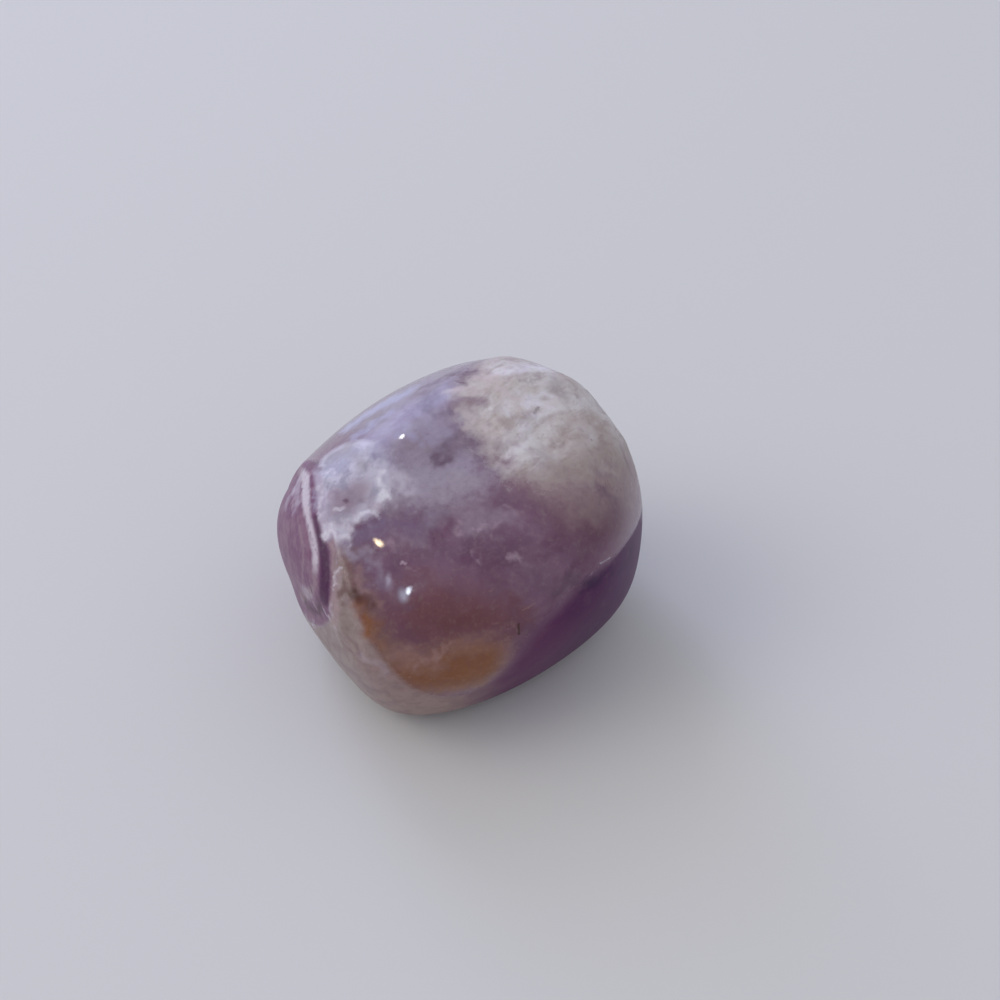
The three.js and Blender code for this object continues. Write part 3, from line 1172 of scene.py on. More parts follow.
COVERS: dict[Zone, Cover] = {
    Zone.CLOUD: Cover(2.4, 3.0),
    Zone.SMOKE: Cover(1.8, 4.0, 0.9),
    Zone.HAZE: Cover(2.0, 3.6, 0.85),
    Zone.MILK: Cover(0.5, 1.0),
    Zone.MILK_HEART: Cover(1.1, 1.3, 0.8),
    Zone.VEIL: Cover(1.6, 2.8, 0.4),
    Zone.MAROON: Cover(1.4, 4.2, 0.9),
    Zone.HONEY: Cover(1.1, 2.6, 0.9),
    Zone.HONEY_SEAM: Cover(0.8, 1.5, 0.7),
    Zone.SUNKEN_END: Cover(0.2, 0.3),
    Zone.CREAM_BAND: Cover(0.3, 0.4, 0.85),
    Zone.THIN_BAND: Cover(0.2, 0.25, 0.5),
    Zone.LILAC_BAND: Cover(0.3, 0.5, 0.85),
    Zone.DARK_BAND: Cover(0.25, 0.35),
    Zone.LIP: Cover(0.4, 0.5, 0.8),
}


@dataclass(frozen=True)
class Patterns:
    """The noises that the finish is worked with, and how some of them are drawn out or mixed."""

    patches: Pattern = Pattern(3.4, 5.0, 0.55, 0.4)
    mottle: Pattern = Pattern(1.3, 5.0, 0.62, 0.2)
    grain: Pattern = Pattern(0.42, 4.0, 0.65)
    creases: Pattern = Pattern(1.0, 5.0, 0.62, 0.25)
    drift: Pattern = Pattern(0.6, 4.0, 0.6)
    drift_reach: float = 0.3
    crease_turn: float = 42.0
    crease_stretch: float = 2.6
    ragged_grain: float = 0.45


@dataclass(frozen=True)
class Grades:
    """Where one tone gives way to the next, and how much of some tones shows.

    A span is of a noise, from 0 to 1, or of a length in millimetres: a depth is measured inward
    from a zone's border, and `across` and `back` run to the right and to the back. A span that
    runs down falls instead of rising. A share is how much of its tone shows, and a wander is how
    far the patches carry a border, in millimetres.
    """

    body: Span = (0.34, 0.66)
    body_smoke: Span = (0.42, 0.72)
    body_smoke_share: float = 0.12
    haze: Span = (0.4, 0.62)
    maroon: Span = (0.4, 0.62)
    honey_depth: Span = (-0.8, 1.4)
    smoke_depth: Span = (-4.5, 0.0)
    cloud: Span = (0.38, 0.62)
    cloud_depth: Span = (-0.5, 4.0)
    cloud_across: Span = (3.0, 11.0)
    cloud_rim: float = 1.1
    cloud_rim_share: float = 0.85
    cloud_creases: Span = (0.50, 0.34)
    cloud_creases_share: float = 0.55
    cloud_mottle: Span = (0.46, 0.68)
    cloud_mottle_share: float = 0.35
    milk_depth: Span = (0.15, 1.0)
    milk_wisps: Span = (0.40, 0.60)
    bevel_wander: float = 3.0
    bevel_grey_across: Span = (-6.5, -2.5)
    bevel_mauve: Span = (0.44, 0.64)
    bevel_mauve_share: float = 0.55
    bevel_violet_across: Span = (0.5, 5.5)
    bevel_deep_across: Span = (6.0, 11.0)
    bevel_smoke: Span = (0.5, 0.75)
    bevel_smoke_share: float = 0.10
    soft_bevel_starts: Span = (0.5, 4.0)
    soft_bevel_ends: Span = (11.0, 9.0)
    crisp_bevel: Cover = Cover(0.35, 0.55)
    soft_bevel: Cover = Cover(1.1, 2.2)
    bevel_back_wander: float = 5.0
    bevel_back: Span = (9.5, 4.5)
    end: Span = (0.38, 0.64)
    cream_depth: Span = (-2.6, -1.2)
    pale_grain: Span = (0.46, 0.80)
    pale_grain_share: float = 0.10
    pale_grain_on_bevels: float = 0.3
    dark_grain: Span = (0.54, 0.22)
    dark_grain_share: float = 0.20


@dataclass(frozen=True)
class Polish:
    """How the skin takes the light.

    The gloss is the clear polish over the colour, and it is dull on the rough parts. The glow is
    light that scatters inside the stone. The frost is the fine bumps of the cloudy shoulder,
    with its height and the glow's scale in millimetres.
    """

    roughness: float = 0.24
    bevel_roughness: float = 0.42
    milk_roughness: float = 0.34
    end_roughness: float = 0.42
    cloud_roughness: float = 0.55
    refraction: float = 1.544
    mirror: float = 0.14
    glow: float = 0.25
    glow_reach: Colour = (1.0, 0.6, 1.0)
    glow_scale: float = 1.5
    clearness: float = 0.08
    gloss: float = 0.65
    dull_gloss: float = 0.05
    gloss_roughness: float = 0.03
    milk_dullness: float = 0.6
    smoke_dullness: Cover = Cover(1.0, 4.0)
    frost_strength: float = 0.6
    frost_height: float = 0.14
    frost_creases: float = 0.6


@dataclass(frozen=True)
class RoughParts:
    """Where the parts lie that take less polish, as masks."""

    milk: Socket
    bevel: Socket
    end: Socket


class AmethystFinish:
    """The polished amethyst: zones of colour, growth bands, specks and a soft inner glow."""

    palette = Palette()
    patterns = Patterns()
    grades = Grades()
    polish = Polish()

    def __init__(self, stone: "AmethystStone") -> None:
        """Makes the material, its bench and the noises that it is worked with.

        Args:
            stone: The stone that wears it, which knows where its marks lie.
        """
        patterns = self.patterns
        self.stone = stone
        self.material = bpy.data.materials.new("polished_amethyst")
        self.material.use_nodes = True
        self.material.node_tree.nodes.clear()
        self.bench = Bench(self.material.node_tree)
        self.zone_mask = ZoneMask()
        self.streak = Streak()
        self.where = self._millimetres()
        self.axes = self.bench.node("ShaderNodeSeparateXYZ")
        self.bench.feed(self.axes.inputs[0], self.where)
        self.patches = self._read(patterns.patches)
        self.mottle = self._read(patterns.mottle)
        self.grain = self._read(patterns.grain)
        self.ragged = self.bench.level(patterns.ragged_grain, self.mottle, self.grain)
        self.adrift = self._adrift()
        self.creases = self.bench.fractal(self._drawn_out(), patterns.creases).outputs["Fac"]

    def _millimetres(self) -> Socket:
        """Returns the place on the stone in millimetres."""
        place = self.bench.node("ShaderNodeTexCoord").outputs["Object"]
        return self.bench.scaled(place, 1.0 / MM)

    def _read(self, pattern: Pattern) -> Socket:
        """Returns a noise read at the place on the stone."""
        return self.bench.fractal(self.where, pattern).outputs["Fac"]

    def _drawn_out(self) -> Socket:
        """Squeezes the place along the way that the cloud's creases run.

        Returns:
            The squeezed place.
        """
        turn = math.radians(self.patterns.crease_turn)
        squeezed = self.bench.node("ShaderNodeMapping", vector_type="TEXTURE")
        self.bench.feed(squeezed.inputs["Vector"], self.where)
        squeezed.inputs["Rotation"].default_value = (0.0, 0.0, turn)
        squeezed.inputs["Scale"].default_value = (self.patterns.crease_stretch, 1.0, 1.0)
        return squeezed.outputs[0]

    def _adrift(self) -> Socket:
        """Moves the place a little by noise, so that marks read there look natural.

        Returns:
            The moved place.
        """
        bench, reach = self.bench, self.patterns.drift_reach
        drift = bench.fractal(self.where, self.patterns.drift).outputs["Color"]
        centred = bench.vector("SUBTRACT", drift, (MID_NOISE, MID_NOISE, MID_NOISE)).outputs[0]
        return bench.vector("MULTIPLY_ADD", centred, (reach, reach, reach), self.where).outputs[0]

    def inside(self, zone: Zone) -> Socket:
        """Returns how far inside a zone the place lies, in millimetres."""
        return self.bench.attribute(zone.value).outputs["Fac"]

    def mask(self, zone: Zone, reach: Given, softness: Given, wander: Socket) -> Socket:
        """Makes a zone's mask.

        Args:
            zone: The zone.
            reach: How far its border wanders, in millimetres.
            softness: How wide the border's fade is, in millimetres.
            wander: The noise that the border wanders by.

        Returns:
            The mask.
        """
        return self.zone_mask.place(
            self.bench, Field=self.inside(zone), Noise=wander, Reach=reach, Softness=softness
        )

    def ragged_mask(self, zone: Zone) -> Socket:
        """Returns a zone's mask with the ragged border of its cover."""
        cover = COVERS[zone]
        return self.mask(zone, cover.reach, cover.softness, self.ragged)

    def cloud_mask(self) -> Socket:
        """Returns where the cloudy shoulder lies: its border wanders more softly."""
        cover = COVERS[Zone.CLOUD]
        return self.mask(Zone.CLOUD, cover.reach, cover.softness, self.mottle)

    def lay(
        self, colour: Given, mask: Given, tint: Socket | Paint, strength: float = 1.0
    ) -> Socket:
        """Lays a colour over another through a mask.

        Args:
            colour: The colour below.
            mask: Where the upper colour lies.
            tint: The upper colour, as a painter reads it or as a socket.
            strength: How much of it shows.

        Returns:
            The mixed colour.
        """
        share = mask if strength == 1.0 else self.bench.sum("MULTIPLY", mask, strength)
        above = tint if isinstance(tint, Socket) else paint(*tint)
        return self.bench.blend(share, colour, above)

    def lay_zone(self, colour: Socket, zone: Zone, tint: Socket | Paint) -> Socket:
        """Returns a zone's colour laid over another as its cover says."""
        return self.lay(colour, self.ragged_mask(zone), tint, COVERS[zone].strength)

    def lay_marks(self, colour: Socket, marks: tuple[Mark, ...]) -> Socket:
        """Lays small marks over a colour.

        Args:
            colour: The colour below.
            marks: The marks, the lowest first.

        Returns:
            The mixed colour.
        """
        for mark in marks:
            mask = self.streak.place(
                self.bench,
                Where=self.adrift,
                Start=self.stone.place(Bearing(*mark.start)),
                End=self.stone.place(Bearing(*(mark.end or mark.start))),
                Radius=mark.radius,
                Softness=mark.softness,
            )
            colour = self.lay(colour, mask, mark.tint.value, mark.strength)
        return colour

    def lay_paint(self, colour: Socket, layer: Paintwork) -> Socket:
        """Lays the soft marks that the mesh carries over a colour.

        Args:
            colour: The colour below.
            layer: The layer that holds the marks.

        Returns:
            The mixed colour.
        """
        bench = self.bench
        paints = bench.attribute(layer.value)
        shown = bench.blend(paints.outputs["Alpha"], colour, BLACK)
        return bench.vector("ADD", shown, paints.outputs["Color"]).outputs[0]

    def between(self, value: Socket, span: Span, below: Paint, above: Paint) -> Socket:
        """Returns one tint before a span and another after it, with a smooth change within."""
        return self.bench.blend(self.bench.rise(value, span), paint(*below), paint(*above))

    def body(self) -> Socket:
        """Mixes the violet of the body, dark and light in cloudy patches.

        Returns:
            The body's colour.
        """
        tones, grades = self.palette, self.grades
        colour = self.between(self.patches, grades.body, tones.violet_dark, tones.violet_light)
        fine = self.bench.rise(self.mottle, grades.body_smoke)
        return self.lay(colour, fine, tones.smoke_pale, grades.body_smoke_share)

    def over_front(self, colour: Socket) -> Socket:
        """Lays the haze, veil, maroon and honey over a colour.

        Args:
            colour: The colour below.

        Returns:
            The mixed colour.
        """
        tones, grades = self.palette, self.grades
        haze = self.between(self.patches, grades.haze, tones.haze_grey, tones.haze_lilac)
        colour = self.lay_zone(colour, Zone.HAZE, haze)
        colour = self.lay_zone(colour, Zone.VEIL, tones.veil)
        maroon = self.between(self.mottle, grades.maroon, tones.maroon, tones.maroon_red)
        colour = self.lay_zone(colour, Zone.MAROON, maroon)
        depth = self.inside(Zone.HONEY)
        honey = self.between(depth, grades.honey_depth, tones.honey_pale, tones.honey_deep)
        colour = self.lay_zone(colour, Zone.HONEY, honey)
        return self.lay_zone(colour, Zone.HONEY_SEAM, tones.seam)

    def over_back(self, colour: Socket) -> Socket:
        """Lays the smoke and the cloud over a colour.

        Args:
            colour: The colour below.

        Returns:
            The mixed colour.
        """
        tones, grades = self.palette, self.grades
        depth = self.inside(Zone.CLOUD)
        smoke = self.between(depth, grades.smoke_depth, tones.smoke_deep, tones.smoke_pale)
        colour = self.lay_zone(colour, Zone.SMOKE, smoke)
        return self.lay(colour, self.cloud_mask(), self.cloud())

    def cloud(self) -> Socket:
        """Mixes the mottled white of the cloudy shoulder, greyer at its right rim.

        Returns:
            The cloud's colour.
        """
        bench, tones, grades = self.bench, self.palette, self.grades
        colour = self.between(self.patches, grades.cloud, tones.cloud_warm, tones.cloud_white)
        inside = bench.rise(self.inside(Zone.CLOUD), grades.cloud_depth)
        to_right = bench.rise(self.axes.outputs["X"], grades.cloud_across)
        rim = bench.sum("SUBTRACT", grades.cloud_rim, inside)
        rim = bench.sum("MULTIPLY", to_right, rim, clamp=True)
        colour = self.lay(colour, rim, tones.cloud_grey, grades.cloud_rim_share)
        creases = bench.rise(self.creases, grades.cloud_creases)
        colour = self.lay(colour, creases, tones.cloud_grey, grades.cloud_creases_share)
        mottle = bench.rise(self.mottle, grades.cloud_mottle)
        return self.lay(colour, mottle, tones.cloud_grey, grades.cloud_mottle_share)

    def milk(self) -> Socket:
        """Mixes the milky patch beside the sunken end: a white rim round a mauve heart.

        Returns:
            The milk's colour.
        """
        bench, tones, grades = self.bench, self.palette, self.grades
        inner = bench.rise(self.inside(Zone.MILK), grades.milk_depth)
        wisps = bench.rise(self.mottle, grades.milk_wisps)
        calm = bench.sum("MULTIPLY", inner, bench.sum("SUBTRACT", 1.0, wisps))
        colour = self.lay(paint(*tones.milk_white), calm, tones.milk_grey)
        return self.lay_zone(colour, Zone.MILK_HEART, tones.milk_heart)

    def bevel(self) -> Socket:
        """Mixes the lower bevels' colour: milky at the left and deep violet at the right.

        Returns:
            The bevels' colour.
        """
        bench, tones, grades = self.bench, self.palette, self.grades
        across = self.axes.outputs["X"]
        wander = bench.sum("MULTIPLY_ADD", self.patches, grades.bevel_wander, across)
        span = grades.bevel_grey_across
        colour = self.between(wander, span, tones.bevel_milk, tones.bevel_grey)
        mauve = bench.rise(self.mottle, grades.bevel_mauve)
        colour = self.lay(colour, mauve, tones.bevel_mauve, grades.bevel_mauve_share)
        violet = bench.rise(wander, grades.bevel_violet_across)
        colour = self.lay(colour, violet, tones.bevel_violet)
        deep = bench.rise(wander, grades.bevel_deep_across)
        colour = self.lay(colour, deep, tones.bevel_deep)
        smoke = bench.rise(self.mottle, grades.bevel_smoke)
        return self.lay(colour, smoke, tones.smoke_pale, grades.bevel_smoke_share)

    def bevel_mask(self) -> Socket:
        """Finds where the lower bevels show: soft below the middle, and lost at the back.

        Returns:
            The bevels' mask.
        """
        bench, grades = self.bench, self.grades
        across, back = self.axes.outputs["X"], self.axes.outputs["Y"]
        starts = bench.rise(across, grades.soft_bevel_starts)
        soft = bench.sum("MULTIPLY", starts, bench.rise(across, grades.soft_bevel_ends))
        crisp_cover, soft_cover = grades.crisp_bevel, grades.soft_bevel
        reach = bench.level(soft, crisp_cover.reach, soft_cover.reach)
        softness = bench.level(soft, crisp_cover.softness, soft_cover.softness)
        mask = self.mask(Zone.BEVEL, reach, softness, self.ragged)
        to_back = bench.sum("MULTIPLY_ADD", self.patches, grades.bevel_back_wander, back)
        return bench.sum("MULTIPLY", mask, bench.rise(to_back, grades.bevel_back))

    def sunken_end(self) -> Socket:
        """Lays the bands of the sunken end: the cream and thin growth bands, a lilac band along
        its upper rim and a dark band beside its lip.

        Returns:
            The end's colour.
        """
        tones, grades = self.palette, self.grades
        colour = self.between(self.mottle, grades.end, tones.end_mauve, tones.end_rose)
        depth = self.inside(Zone.LILAC_BAND)
        cream = self.between(depth, grades.cream_depth, tones.end_cream, tones.end_white)
        colour = self.lay_zone(colour, Zone.CREAM_BAND, cream)
        colour = self.lay_zone(colour, Zone.THIN_BAND, tones.end_cream)
        colour = self.lay_zone(colour, Zone.LILAC_BAND, tones.end_lilac)
        return self.lay_zone(colour, Zone.DARK_BAND, tones.end_dark)

    def colour(self, parts: RoughParts) -> Socket:
        """Lays every zone, mark and grain of the stone.

        Args:
            parts: Where the milk, the bevels and the sunken end lie.

        Returns:
            The stone's colour.
        """
        bench, tones, grades = self.bench, self.palette, self.grades
        colour = self.lay_paint(self.over_front(self.body()), Paintwork.UNDER)
        colour = self.over_back(colour)
        colour = self.lay(colour, parts.milk, self.milk())
        colour = self.lay(colour, parts.bevel, self.bevel())
        colour = self.lay(colour, parts.end, self.sunken_end())
        colour = self.lay_zone(colour, Zone.LIP, tones.lip)
        colour = self.lay_paint(colour, Paintwork.OVER)
        colour = self.lay_marks(colour, FINE_MARKS)
        pale = bench.rise(self.grain, grades.pale_grain)
        shown = bench.level(parts.bevel, 1.0, grades.pale_grain_on_bevels)
        pale = bench.sum("MULTIPLY", pale, shown)
        colour = self.lay(colour, pale, tones.cloud_warm, grades.pale_grain_share)
        dark = bench.rise(self.grain, grades.dark_grain)
        return self.lay(colour, dark, tones.violet_dark, grades.dark_grain_share)

    def roughness(self, parts: RoughParts, cloud: Socket) -> Socket:
        """Makes the rough parts rougher than the polished body.

        Args:
            parts: Where the milk, the bevels and the sunken end lie.
            cloud: Where the cloudy shoulder lies.

        Returns:
            The roughness.
        """
        bench, polish = self.bench, self.polish
        rough = bench.level(parts.bevel, polish.roughness, polish.bevel_roughness)
        rough = bench.level(parts.milk, rough, polish.milk_roughness)
        rough = bench.level(parts.end, rough, polish.end_roughness)
        return bench.level(cloud, rough, polish.cloud_roughness)

    def gloss(self, parts: RoughParts, cloud: Socket) -> Socket:
        """Dulls the clear polish on the rough parts and in the smoke.

        Args:
            parts: Where the milk, the bevels and the sunken end lie.
            cloud: Where the cloudy shoulder lies.

        Returns:
            The weight of the clear polish.
        """
        bench, polish = self.bench, self.polish
        cover = polish.smoke_dullness
        dull = bench.sum("MAXIMUM", bench.sum("MAXIMUM", cloud, parts.end), parts.bevel)
        smoke = self.mask(Zone.SMOKE, cover.reach, cover.softness, self.ragged)
        dull = bench.sum("MAXIMUM", dull, smoke)
        milk = bench.sum("MULTIPLY", parts.milk, polish.milk_dullness)
        dull = bench.sum("MAXIMUM", dull, milk)
        return bench.level(dull, polish.gloss, polish.dull_gloss)

    def frost(self, cloud: Socket) -> Socket:
        """Roughens the cloudy shoulder with fine bumps.

        Args:
            cloud: Where the cloudy shoulder lies.

        Returns:
            The skin's normal.
        """
        bench, polish = self.bench, self.polish
        bump = bench.node("ShaderNodeBump")
        bump.inputs["Strength"].default_value = polish.frost_strength
        bump.inputs["Distance"].default_value = polish.frost_height * MM
        lumps = bench.level(polish.frost_creases, self.ragged, self.creases)
        height = bench.sum("MULTIPLY", bench.sum("SUBTRACT", lumps, MID_NOISE), cloud)
        bench.feed(bump.inputs["Height"], height)
        return bump.outputs["Normal"]

    def make(self) -> bpy.types.Material:
        """Wires the whole finish.

        Returns:
            The material.
        """
        bench, polish = self.bench, self.polish
        milk, bevel = self.ragged_mask(Zone.MILK), self.bevel_mask()
        parts = RoughParts(milk, bevel, self.ragged_mask(Zone.SUNKEN_END))
        colour = self.colour(parts)
        cloud = self.cloud_mask()
        shader = bench.node("ShaderNodeBsdfPrincipled")
        bench.feed(shader.inputs["Base Color"], colour)
        bench.feed(shader.inputs["Roughness"], self.roughness(parts, cloud))
        shader.inputs["IOR"].default_value = polish.refraction
        shader.inputs["Specular IOR Level"].default_value = polish.mirror
        shader.inputs["Subsurface Weight"].default_value = polish.glow
        shader.inputs["Subsurface Radius"].default_value = polish.glow_reach
        shader.inputs["Subsurface Scale"].default_value = polish.glow_scale * MM
        shader.inputs["Transmission Weight"].default_value = polish.clearness
        bench.feed(shader.inputs["Coat Weight"], self.gloss(parts, cloud))
        shader.inputs["Coat Roughness"].default_value = polish.gloss_roughness
        bench.feed(shader.inputs["Normal"], self.frost(cloud))
        sink = bench.node("ShaderNodeOutputMaterial")
        bench.feed(sink.inputs["Surface"], shader.outputs[0])
        return self.material


# ---- The stone -------------------------------------------------------------------------------


# Corners of neighbouring faces that agree to this many decimals are one corner.
SHARED_DECIMALS = 7


def ball_grid(pieces: int) -> tuple[Points, np.ndarray]:
    """Cuts each face of an icosahedron into small triangles.

    Args:
        pieces: How many pieces each of its edges is cut into.

    Returns:
        Unit vectors from its middle, and the triangles that join them.
    """
    golden = (1 + math.sqrt(5)) / 2
    corners = np.array(
        [
            (-1, golden, 0), (1, golden, 0), (-1, -golden, 0), (1, -golden, 0),
            (0, -1, golden), (0, 1, golden), (0, -1, -golden), (0, 1, -golden),
            (golden, 0, -1), (golden, 0, 1), (-golden, 0, -1), (-golden, 0, 1),
        ]
    )
    triples = (
        (0, 11, 5), (0, 5, 1), (0, 1, 7), (0, 7, 10), (0, 10, 11),
        (1, 5, 9), (5, 11, 4), (11, 10, 2), (10, 7, 6), (7, 1, 8),
        (3, 9, 4), (3, 4, 2), (3, 2, 6), (3, 6, 8), (3, 8, 9),
        (4, 9, 5), (2, 4, 11), (6, 2, 10), (8, 6, 7), (9, 8, 1),
    )
    rows = [(i, j) for i in range(pieces + 1) for j in range(pieces + 1 - i)]
    index = {pair: number for number, pair in enumerate(rows)}
    upright = [
        (index[i, j], index[i + 1, j], index[i, j + 1])
        for i in range(pieces)
        for j in range(pieces - i)
    ]
    turned = [
        (index[i + 1, j], index[i + 1, j + 1], index[i, j + 1])
        for i in range(pieces - 1)
        for j in range(pieces - 1 - i)
    ]
    cells = np.array(upright + turned)
    grid = np.array(rows, dtype=float) / pieces
    weights = np.stack([1 - grid.sum(axis=1), grid[:, 0], grid[:, 1]], axis=1)
    spread = np.concatenate([weights @ corners[list(triple)] for triple in triples])
    rounded = spread.round(SHARED_DECIMALS)
    _, first, shared = np.unique(rounded, axis=0, return_index=True, return_inverse=True)
    spread = spread[first] / np.linalg.norm(spread[first], axis=1, keepdims=True)
    triangles = np.concatenate([cells + number * len(rows) for number in range(len(triples))])
    return spread, shared.reshape(-1)[triangles]


@dataclass(frozen=True)
class ShoulderGrain:
    """The fine bumps of the cloudy shoulder, fading out past the border of the cloud.

    The smoothness, gap and layers are those of a fractal noise.
    """

    height: float = 0.035
    width: float = 1.1
    border: Span = (-1.0, 1.5)
    elsewhere: float = 0.02
    smoothness: float = 1.0
    gap: float = 2.0
    layers: int = 4

    def heights(self, directions: Points, points: Points) -> np.ndarray:
        """Finds how high the bumps are.

        Args:
            directions: Unit vectors from the heart.
            points: The skin's points in those directions.

        Returns:
            The height at each point.
        """
        cloudy = smooth_between(*self.border, ZONE_SHAPES[Zone.CLOUD].inside(directions))
        places = [Vector(point) / self.width for point in points]
        rough = [
            noise.fractal(place, self.smoothness, self.gap, self.layers) for place in places
        ]
        share = self.elsewhere + (1.0 - self.elsewhere) * cloudy
        return self.height * share * np.array(rough)


@dataclass(frozen=True)
class Drift:
    """How noise moves the places where soft marks are read, which makes them look natural."""

    size: float = 1.1
    reach: float = 0.7
    layers: int = 4
    seed: int = 1485

    def moved(self, points: Points) -> Points:
        """Moves points as the noise takes them.

        Args:
            points: The points, in millimetres.

        Returns:
            The moved points.
        """
        noise.seed_set(self.seed)
        places = [Vector(point) / self.size for point in points]
        moves = [noise.turbulence_vector(place, self.layers, False) for place in places]
        return points + self.reach * np.array(moves)


@dataclass
class AmethystStone:
    """The whole stone: its fine skin, the fields that its finish reads, and its place."""

    node: str = "amethyst"
    form: TumbledForm = field(default_factory=TumbledForm)
    edge_pieces: int = 94
    finest: Bearing = Bearing(-50, 30)
    finest_share: float = 0.2
    grain: ShoulderGrain = ShoulderGrain()
    drift: Drift = Drift()
    pits: tuple[Hollow, ...] = (
        Hollow(Bearing(104, 63), 0.42, 0.12),
        Hollow(Bearing(94, 60), 0.36, 0.10),
        Hollow(Bearing(92, 58), 0.30, 0.06),
        Hollow(Bearing(75, 48), 0.26, 0.06),
        Hollow(Bearing(-61, 1), 0.30, 0.12),
    )
    heart: np.ndarray = field(default_factory=lambda: np.zeros(3))

    def directions(self) -> tuple[Points, np.ndarray]:
        """Spreads points round the heart, drawn towards the side that has the finest forms.

        Returns:
            Unit vectors from the heart, and the triangles that join them.
        """
        spread, triangles = ball_grid(self.edge_pieces)
        spread = spread + self.finest_share * self.finest.vector()
        spread /= np.linalg.norm(spread, axis=1, keepdims=True)
        return spread, triangles

    def skin(self, directions: Points) -> Points:
        """Finds the finished skin, worn flat below.

        Args:
            directions: Unit vectors from the heart.

        Returns:
            A point for each direction.
        """
        points = self.form.plain_skin(directions)
        points = points + directions * self.form.relief(points)[:, None]
        fine = self.grain.heights(directions, points)
        fine = fine - self.form.hollow_depth(points, self.pits)
        points = points + directions * fine[:, None]
        points[:, 2] = np.maximum(points[:, 2], points[:, 2].min() + self.form.underside_wear)
        return points

    def place(self, bearing: Bearing) -> Vector:
        """Returns where a bearing meets the skin, in millimetres in the part's frame."""
        return Vector(self.form.plain_skin(bearing.vector()[None, :])[0] + self.heart)

    def build(self) -> bpy.types.Object:
        """Builds the stone where its node is, with its finish.

        Returns:
            The stone.
        """
        directions, triangles = self.directions()
        points = self.skin(directions)
        low, high = (np.array(corner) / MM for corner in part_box(self.node))
        own_low, own_high = points.min(axis=0), points.max(axis=0)
        self.heart = (low + high - own_low - own_high) / 2
        self.heart[2] = low[2] - own_low[2]
        mesh = bpy.data.meshes.new("amethyst_stone")
        mesh.from_pydata(((points + self.heart) * MM).tolist(), [], triangles.tolist())
        mesh.shade_smooth()
        self.write_fields(mesh, directions, points + self.heart)
        stone = bpy.data.objects.new("amethyst_stone", mesh)
        bpy.context.scene.collection.objects.link(stone)
        mesh.materials.append(AmethystFinish(self).make())
        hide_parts(self.node)
        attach(stone, "root")
        return stone

    def write_fields(self, mesh: bpy.types.Mesh, directions: Points, points: Points) -> None:
        """Writes the fields and the paint that the finish reads onto the mesh.

        Args:
            mesh: The stone's mesh.
            directions: The direction of each of its points.
            points: Its points, in millimetres.
        """
        for zone, shape in ZONE_SHAPES.items():
            layer = mesh.attributes.new(zone.value, "FLOAT", "POINT")
            layer.data.foreach_set("value", shape.inside(directions).astype(np.float32))
        places = self.drift.moved(points)
        for paintwork, marks in SOFT_MARKS.items():
            layer = mesh.attributes.new(paintwork.value, "FLOAT_COLOR", "POINT")
            layer.data.foreach_set("color", self.painted(marks, places).reshape(-1))

    def painted(self, marks: tuple[Mark, ...], places: Points) -> np.ndarray:
        """Lays marks over one another.

        Args:
            marks: The marks, the lowest first.
            places: The points where they are read.

        Returns:
            Each point's colour, dimmed by how little they cover there, and how much that is.
        """
        layer = np.zeros((len(places), 4), dtype=np.float32)
        for mark in marks:
            start, end = (
                np.array(self.place(Bearing(*at))) for at in (mark.start, mark.end or mark.start)
            )
            share = mark.share(places, start, end)[:, None]
            layer = layer * (1.0 - share) + share * np.array(paint(*mark.tint.value))
        return layer.astype(np.float32)


# ---- Studio ----------------------------------------------------------------------------------


@dataclass(frozen=True)
class Softbox:
    """A soft area lamp aimed at the stone, with its lengths in metres."""

    name: str
    bearing: Bearing
    distance: float
    width: float
    height: float
    watts: float
    tint: Colour
    soft_edge: float
    lean: float = 0.0

    def soften(self, lamp: bpy.types.AreaLight) -> None:
        """Fades the lamp from its middle to its edges.

        Args:
            lamp: The lamp.
        """
        lamp.use_nodes = True
        bench = Bench(lamp.node_tree)
        across = bench.node("ShaderNodeNewGeometry").outputs["Parametric"]
        apart = bench.vector("DISTANCE", across, LAMP_MIDDLE).outputs["Value"]
        fade = bench.rise(apart, (LAMP_HALF * (1.0 - self.soft_edge), LAMP_HALF))
        emission = lamp.node_tree.nodes["Emission"]
        bench.feed(emission.inputs["Strength"], bench.sum("SUBTRACT", 1.0, fade))

    def build(self, target: Vector) -> bpy.types.Object:
        """Hangs the lamp.

        Args:
            target: What it is aimed at, in metres.

        Returns:
            The lamp.
        """
        lamp = bpy.data.lights.new(self.name, "AREA")
        lamp.shape = "RECTANGLE"
        lamp.size, lamp.size_y = self.width, self.height
        lamp.energy = self.watts
        lamp.color = self.tint
        self.soften(lamp)
        made = bpy.data.objects.new(self.name, lamp)
        made.location = target + Vector(self.bearing.vector()) * self.distance
        aimed = (target - made.location).to_track_quat("-Z", "Y")
        leaning = Quaternion((0.0, 0.0, 1.0), math.radians(self.lean))
        made.rotation_euler = (aimed @ leaning).to_euler()
        bpy.context.scene.collection.objects.link(made)
        return made


@dataclass(frozen=True)
class Lens:
    """The camera: where it stands in metres, how far it looks down, and its field of view."""

    stands: tuple[float, float, float] = (0.002772, -0.104673, 0.118169)
    elevation: float = 45.0
    field_of_view: float = 26.0
    sensor_width: float = 36.0
    nearest: float = 0.01

    def build(self) -> bpy.types.Object:
        """Sets the camera.

        Returns:
            The camera.
        """
        lens = bpy.data.cameras.new("camera")
        lens.sensor_width = self.sensor_width
        lens.angle = math.radians(self.field_of_view)
        lens.clip_start = self.nearest
        camera = bpy.data.objects.new("camera", lens)
        camera.location = self.stands
        camera.rotation_euler = (math.radians(90.0 - self.elevation), 0.0, 0.0)
        bpy.context.scene.collection.objects.link(camera)
        bpy.context.scene.camera = camera
        return camera


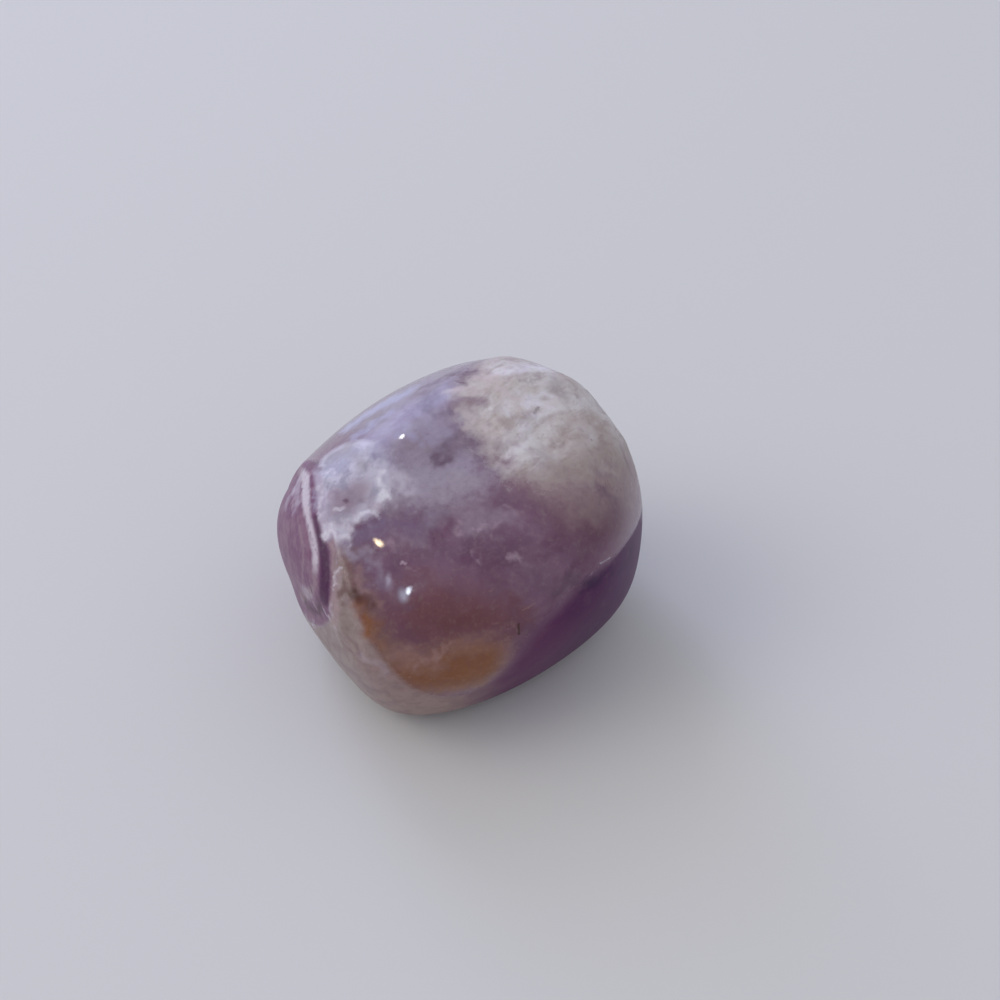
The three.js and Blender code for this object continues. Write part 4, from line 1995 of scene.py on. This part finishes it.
@dataclass(frozen=True)
class FloorFinish:
    """The matt finish of the pale floor."""

    tint: Colour = (0.66, 0.65, 0.64)
    roughness: float = 0.75
    mirror: float = 0.2

    def make(self) -> bpy.types.Material:
        """Makes the finish.

        Returns:
            The material.
        """
        material = bpy.data.materials.new("pale_floor")
        material.use_nodes = True
        shader = material.node_tree.nodes["Principled BSDF"]
        shader.inputs["Base Color"].default_value = (*self.tint, 1.0)
        shader.inputs["Roughness"].default_value = self.roughness
        shader.inputs["Specular IOR Level"].default_value = self.mirror
        return material


@dataclass(frozen=True)
class Floor:
    """The plain pale floor, with its size in metres."""

    size: float = 6.0
    finish: FloorFinish = FloorFinish()

    def build(self) -> bpy.types.Object:
        """Lays the floor.

        Returns:
            The floor.
        """
        half = self.size / 2
        mesh = bpy.data.meshes.new("floor")
        corners = [(-half, -half, 0), (half, -half, 0), (half, half, 0), (-half, half, 0)]
        mesh.from_pydata(corners, [], [(0, 1, 2, 3)])
        mesh.materials.append(self.finish.make())
        floor = bpy.data.objects.new("floor", mesh)
        bpy.context.scene.collection.objects.link(floor)
        floor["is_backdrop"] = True
        return floor


@dataclass(frozen=True)
class Studio:
    """The pale floor, the room's even light, the lamps and the camera."""

    floor: Floor = Floor()
    lens: Lens = Lens()
    sky_tint: Colour = (0.90, 0.92, 1.0)
    sky_strength: float = 0.60
    lamps: tuple[Softbox, ...] = (
        Softbox(
            "window", Bearing(-149, 30), distance=0.55, width=0.44, height=0.90,
            watts=4.9, tint=(0.56, 0.63, 1.0), soft_edge=1.0,
        ),
        Softbox(
            "side", Bearing(-82, 44), distance=0.75, width=0.90, height=0.80,
            watts=6.6, tint=(1.0, 0.97, 0.93), soft_edge=1.0,
        ),
        Softbox(
            "white_glint", Bearing(-143.8, 53.5), distance=0.609, width=0.012, height=0.08,
            watts=0.10, tint=(1.0, 1.0, 1.0), soft_edge=0.6, lean=-8.7,
        ),
        Softbox(
            "warm_glint", Bearing(-58.8, 76.1), distance=0.608, width=0.033, height=0.011,
            watts=0.080, tint=(1.0, 0.80, 0.50), soft_edge=0.9, lean=4.9,
        ),
        Softbox(
            "cold_glint", Bearing(0.0, 56.4), distance=0.609, width=0.007, height=0.12,
            watts=0.13, tint=(0.75, 0.86, 1.0), soft_edge=0.7, lean=21.5,
        ),
        Softbox(
            "cold_halo", Bearing(0.9, 53.4), distance=0.609, width=0.019, height=0.28,
            watts=0.17, tint=(0.62, 0.78, 1.0), soft_edge=1.0, lean=21.5,
        ),
        Softbox(
            "cold_trace", Bearing(-20.5, 68.4), distance=0.608, width=0.016, height=0.13,
            watts=0.045, tint=(0.75, 0.82, 1.0), soft_edge=1.0, lean=36.4,
        ),
    )

    def build_sky(self) -> None:
        """Sets the even light of the room."""
        world = bpy.data.worlds.new("room")
        world.use_nodes = True
        sky = world.node_tree.nodes["Background"]
        sky.inputs["Color"].default_value = (*self.sky_tint, 1.0)
        sky.inputs["Strength"].default_value = self.sky_strength
        bpy.context.scene.world = world

    def build(self, target: Vector) -> None:
        """Builds the studio round the stone.

        Args:
            target: The stone's middle, in metres.
        """
        self.floor.build()
        self.build_sky()
        self.lens.build()
        for lamp in self.lamps:
            lamp.build(target)
        bpy.context.scene.view_settings.view_transform = "Standard"


# ---- Making ----------------------------------------------------------------------------------


def main() -> None:
    """Builds the stone and the studio, and reports each piece."""
    logging.basicConfig(level=logging.INFO, format="%(name)s: %(message)s")
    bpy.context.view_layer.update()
    stone = AmethystStone().build()
    LOG.info("%s: %d triangles", stone.name, len(stone.data.polygons))
    low, high = (Vector(corner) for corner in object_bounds())
    Studio().build((low + high) / 2)
    LOG.info("studio: floor, room light, lamps and camera")


if __name__ == "__main__":
    main()
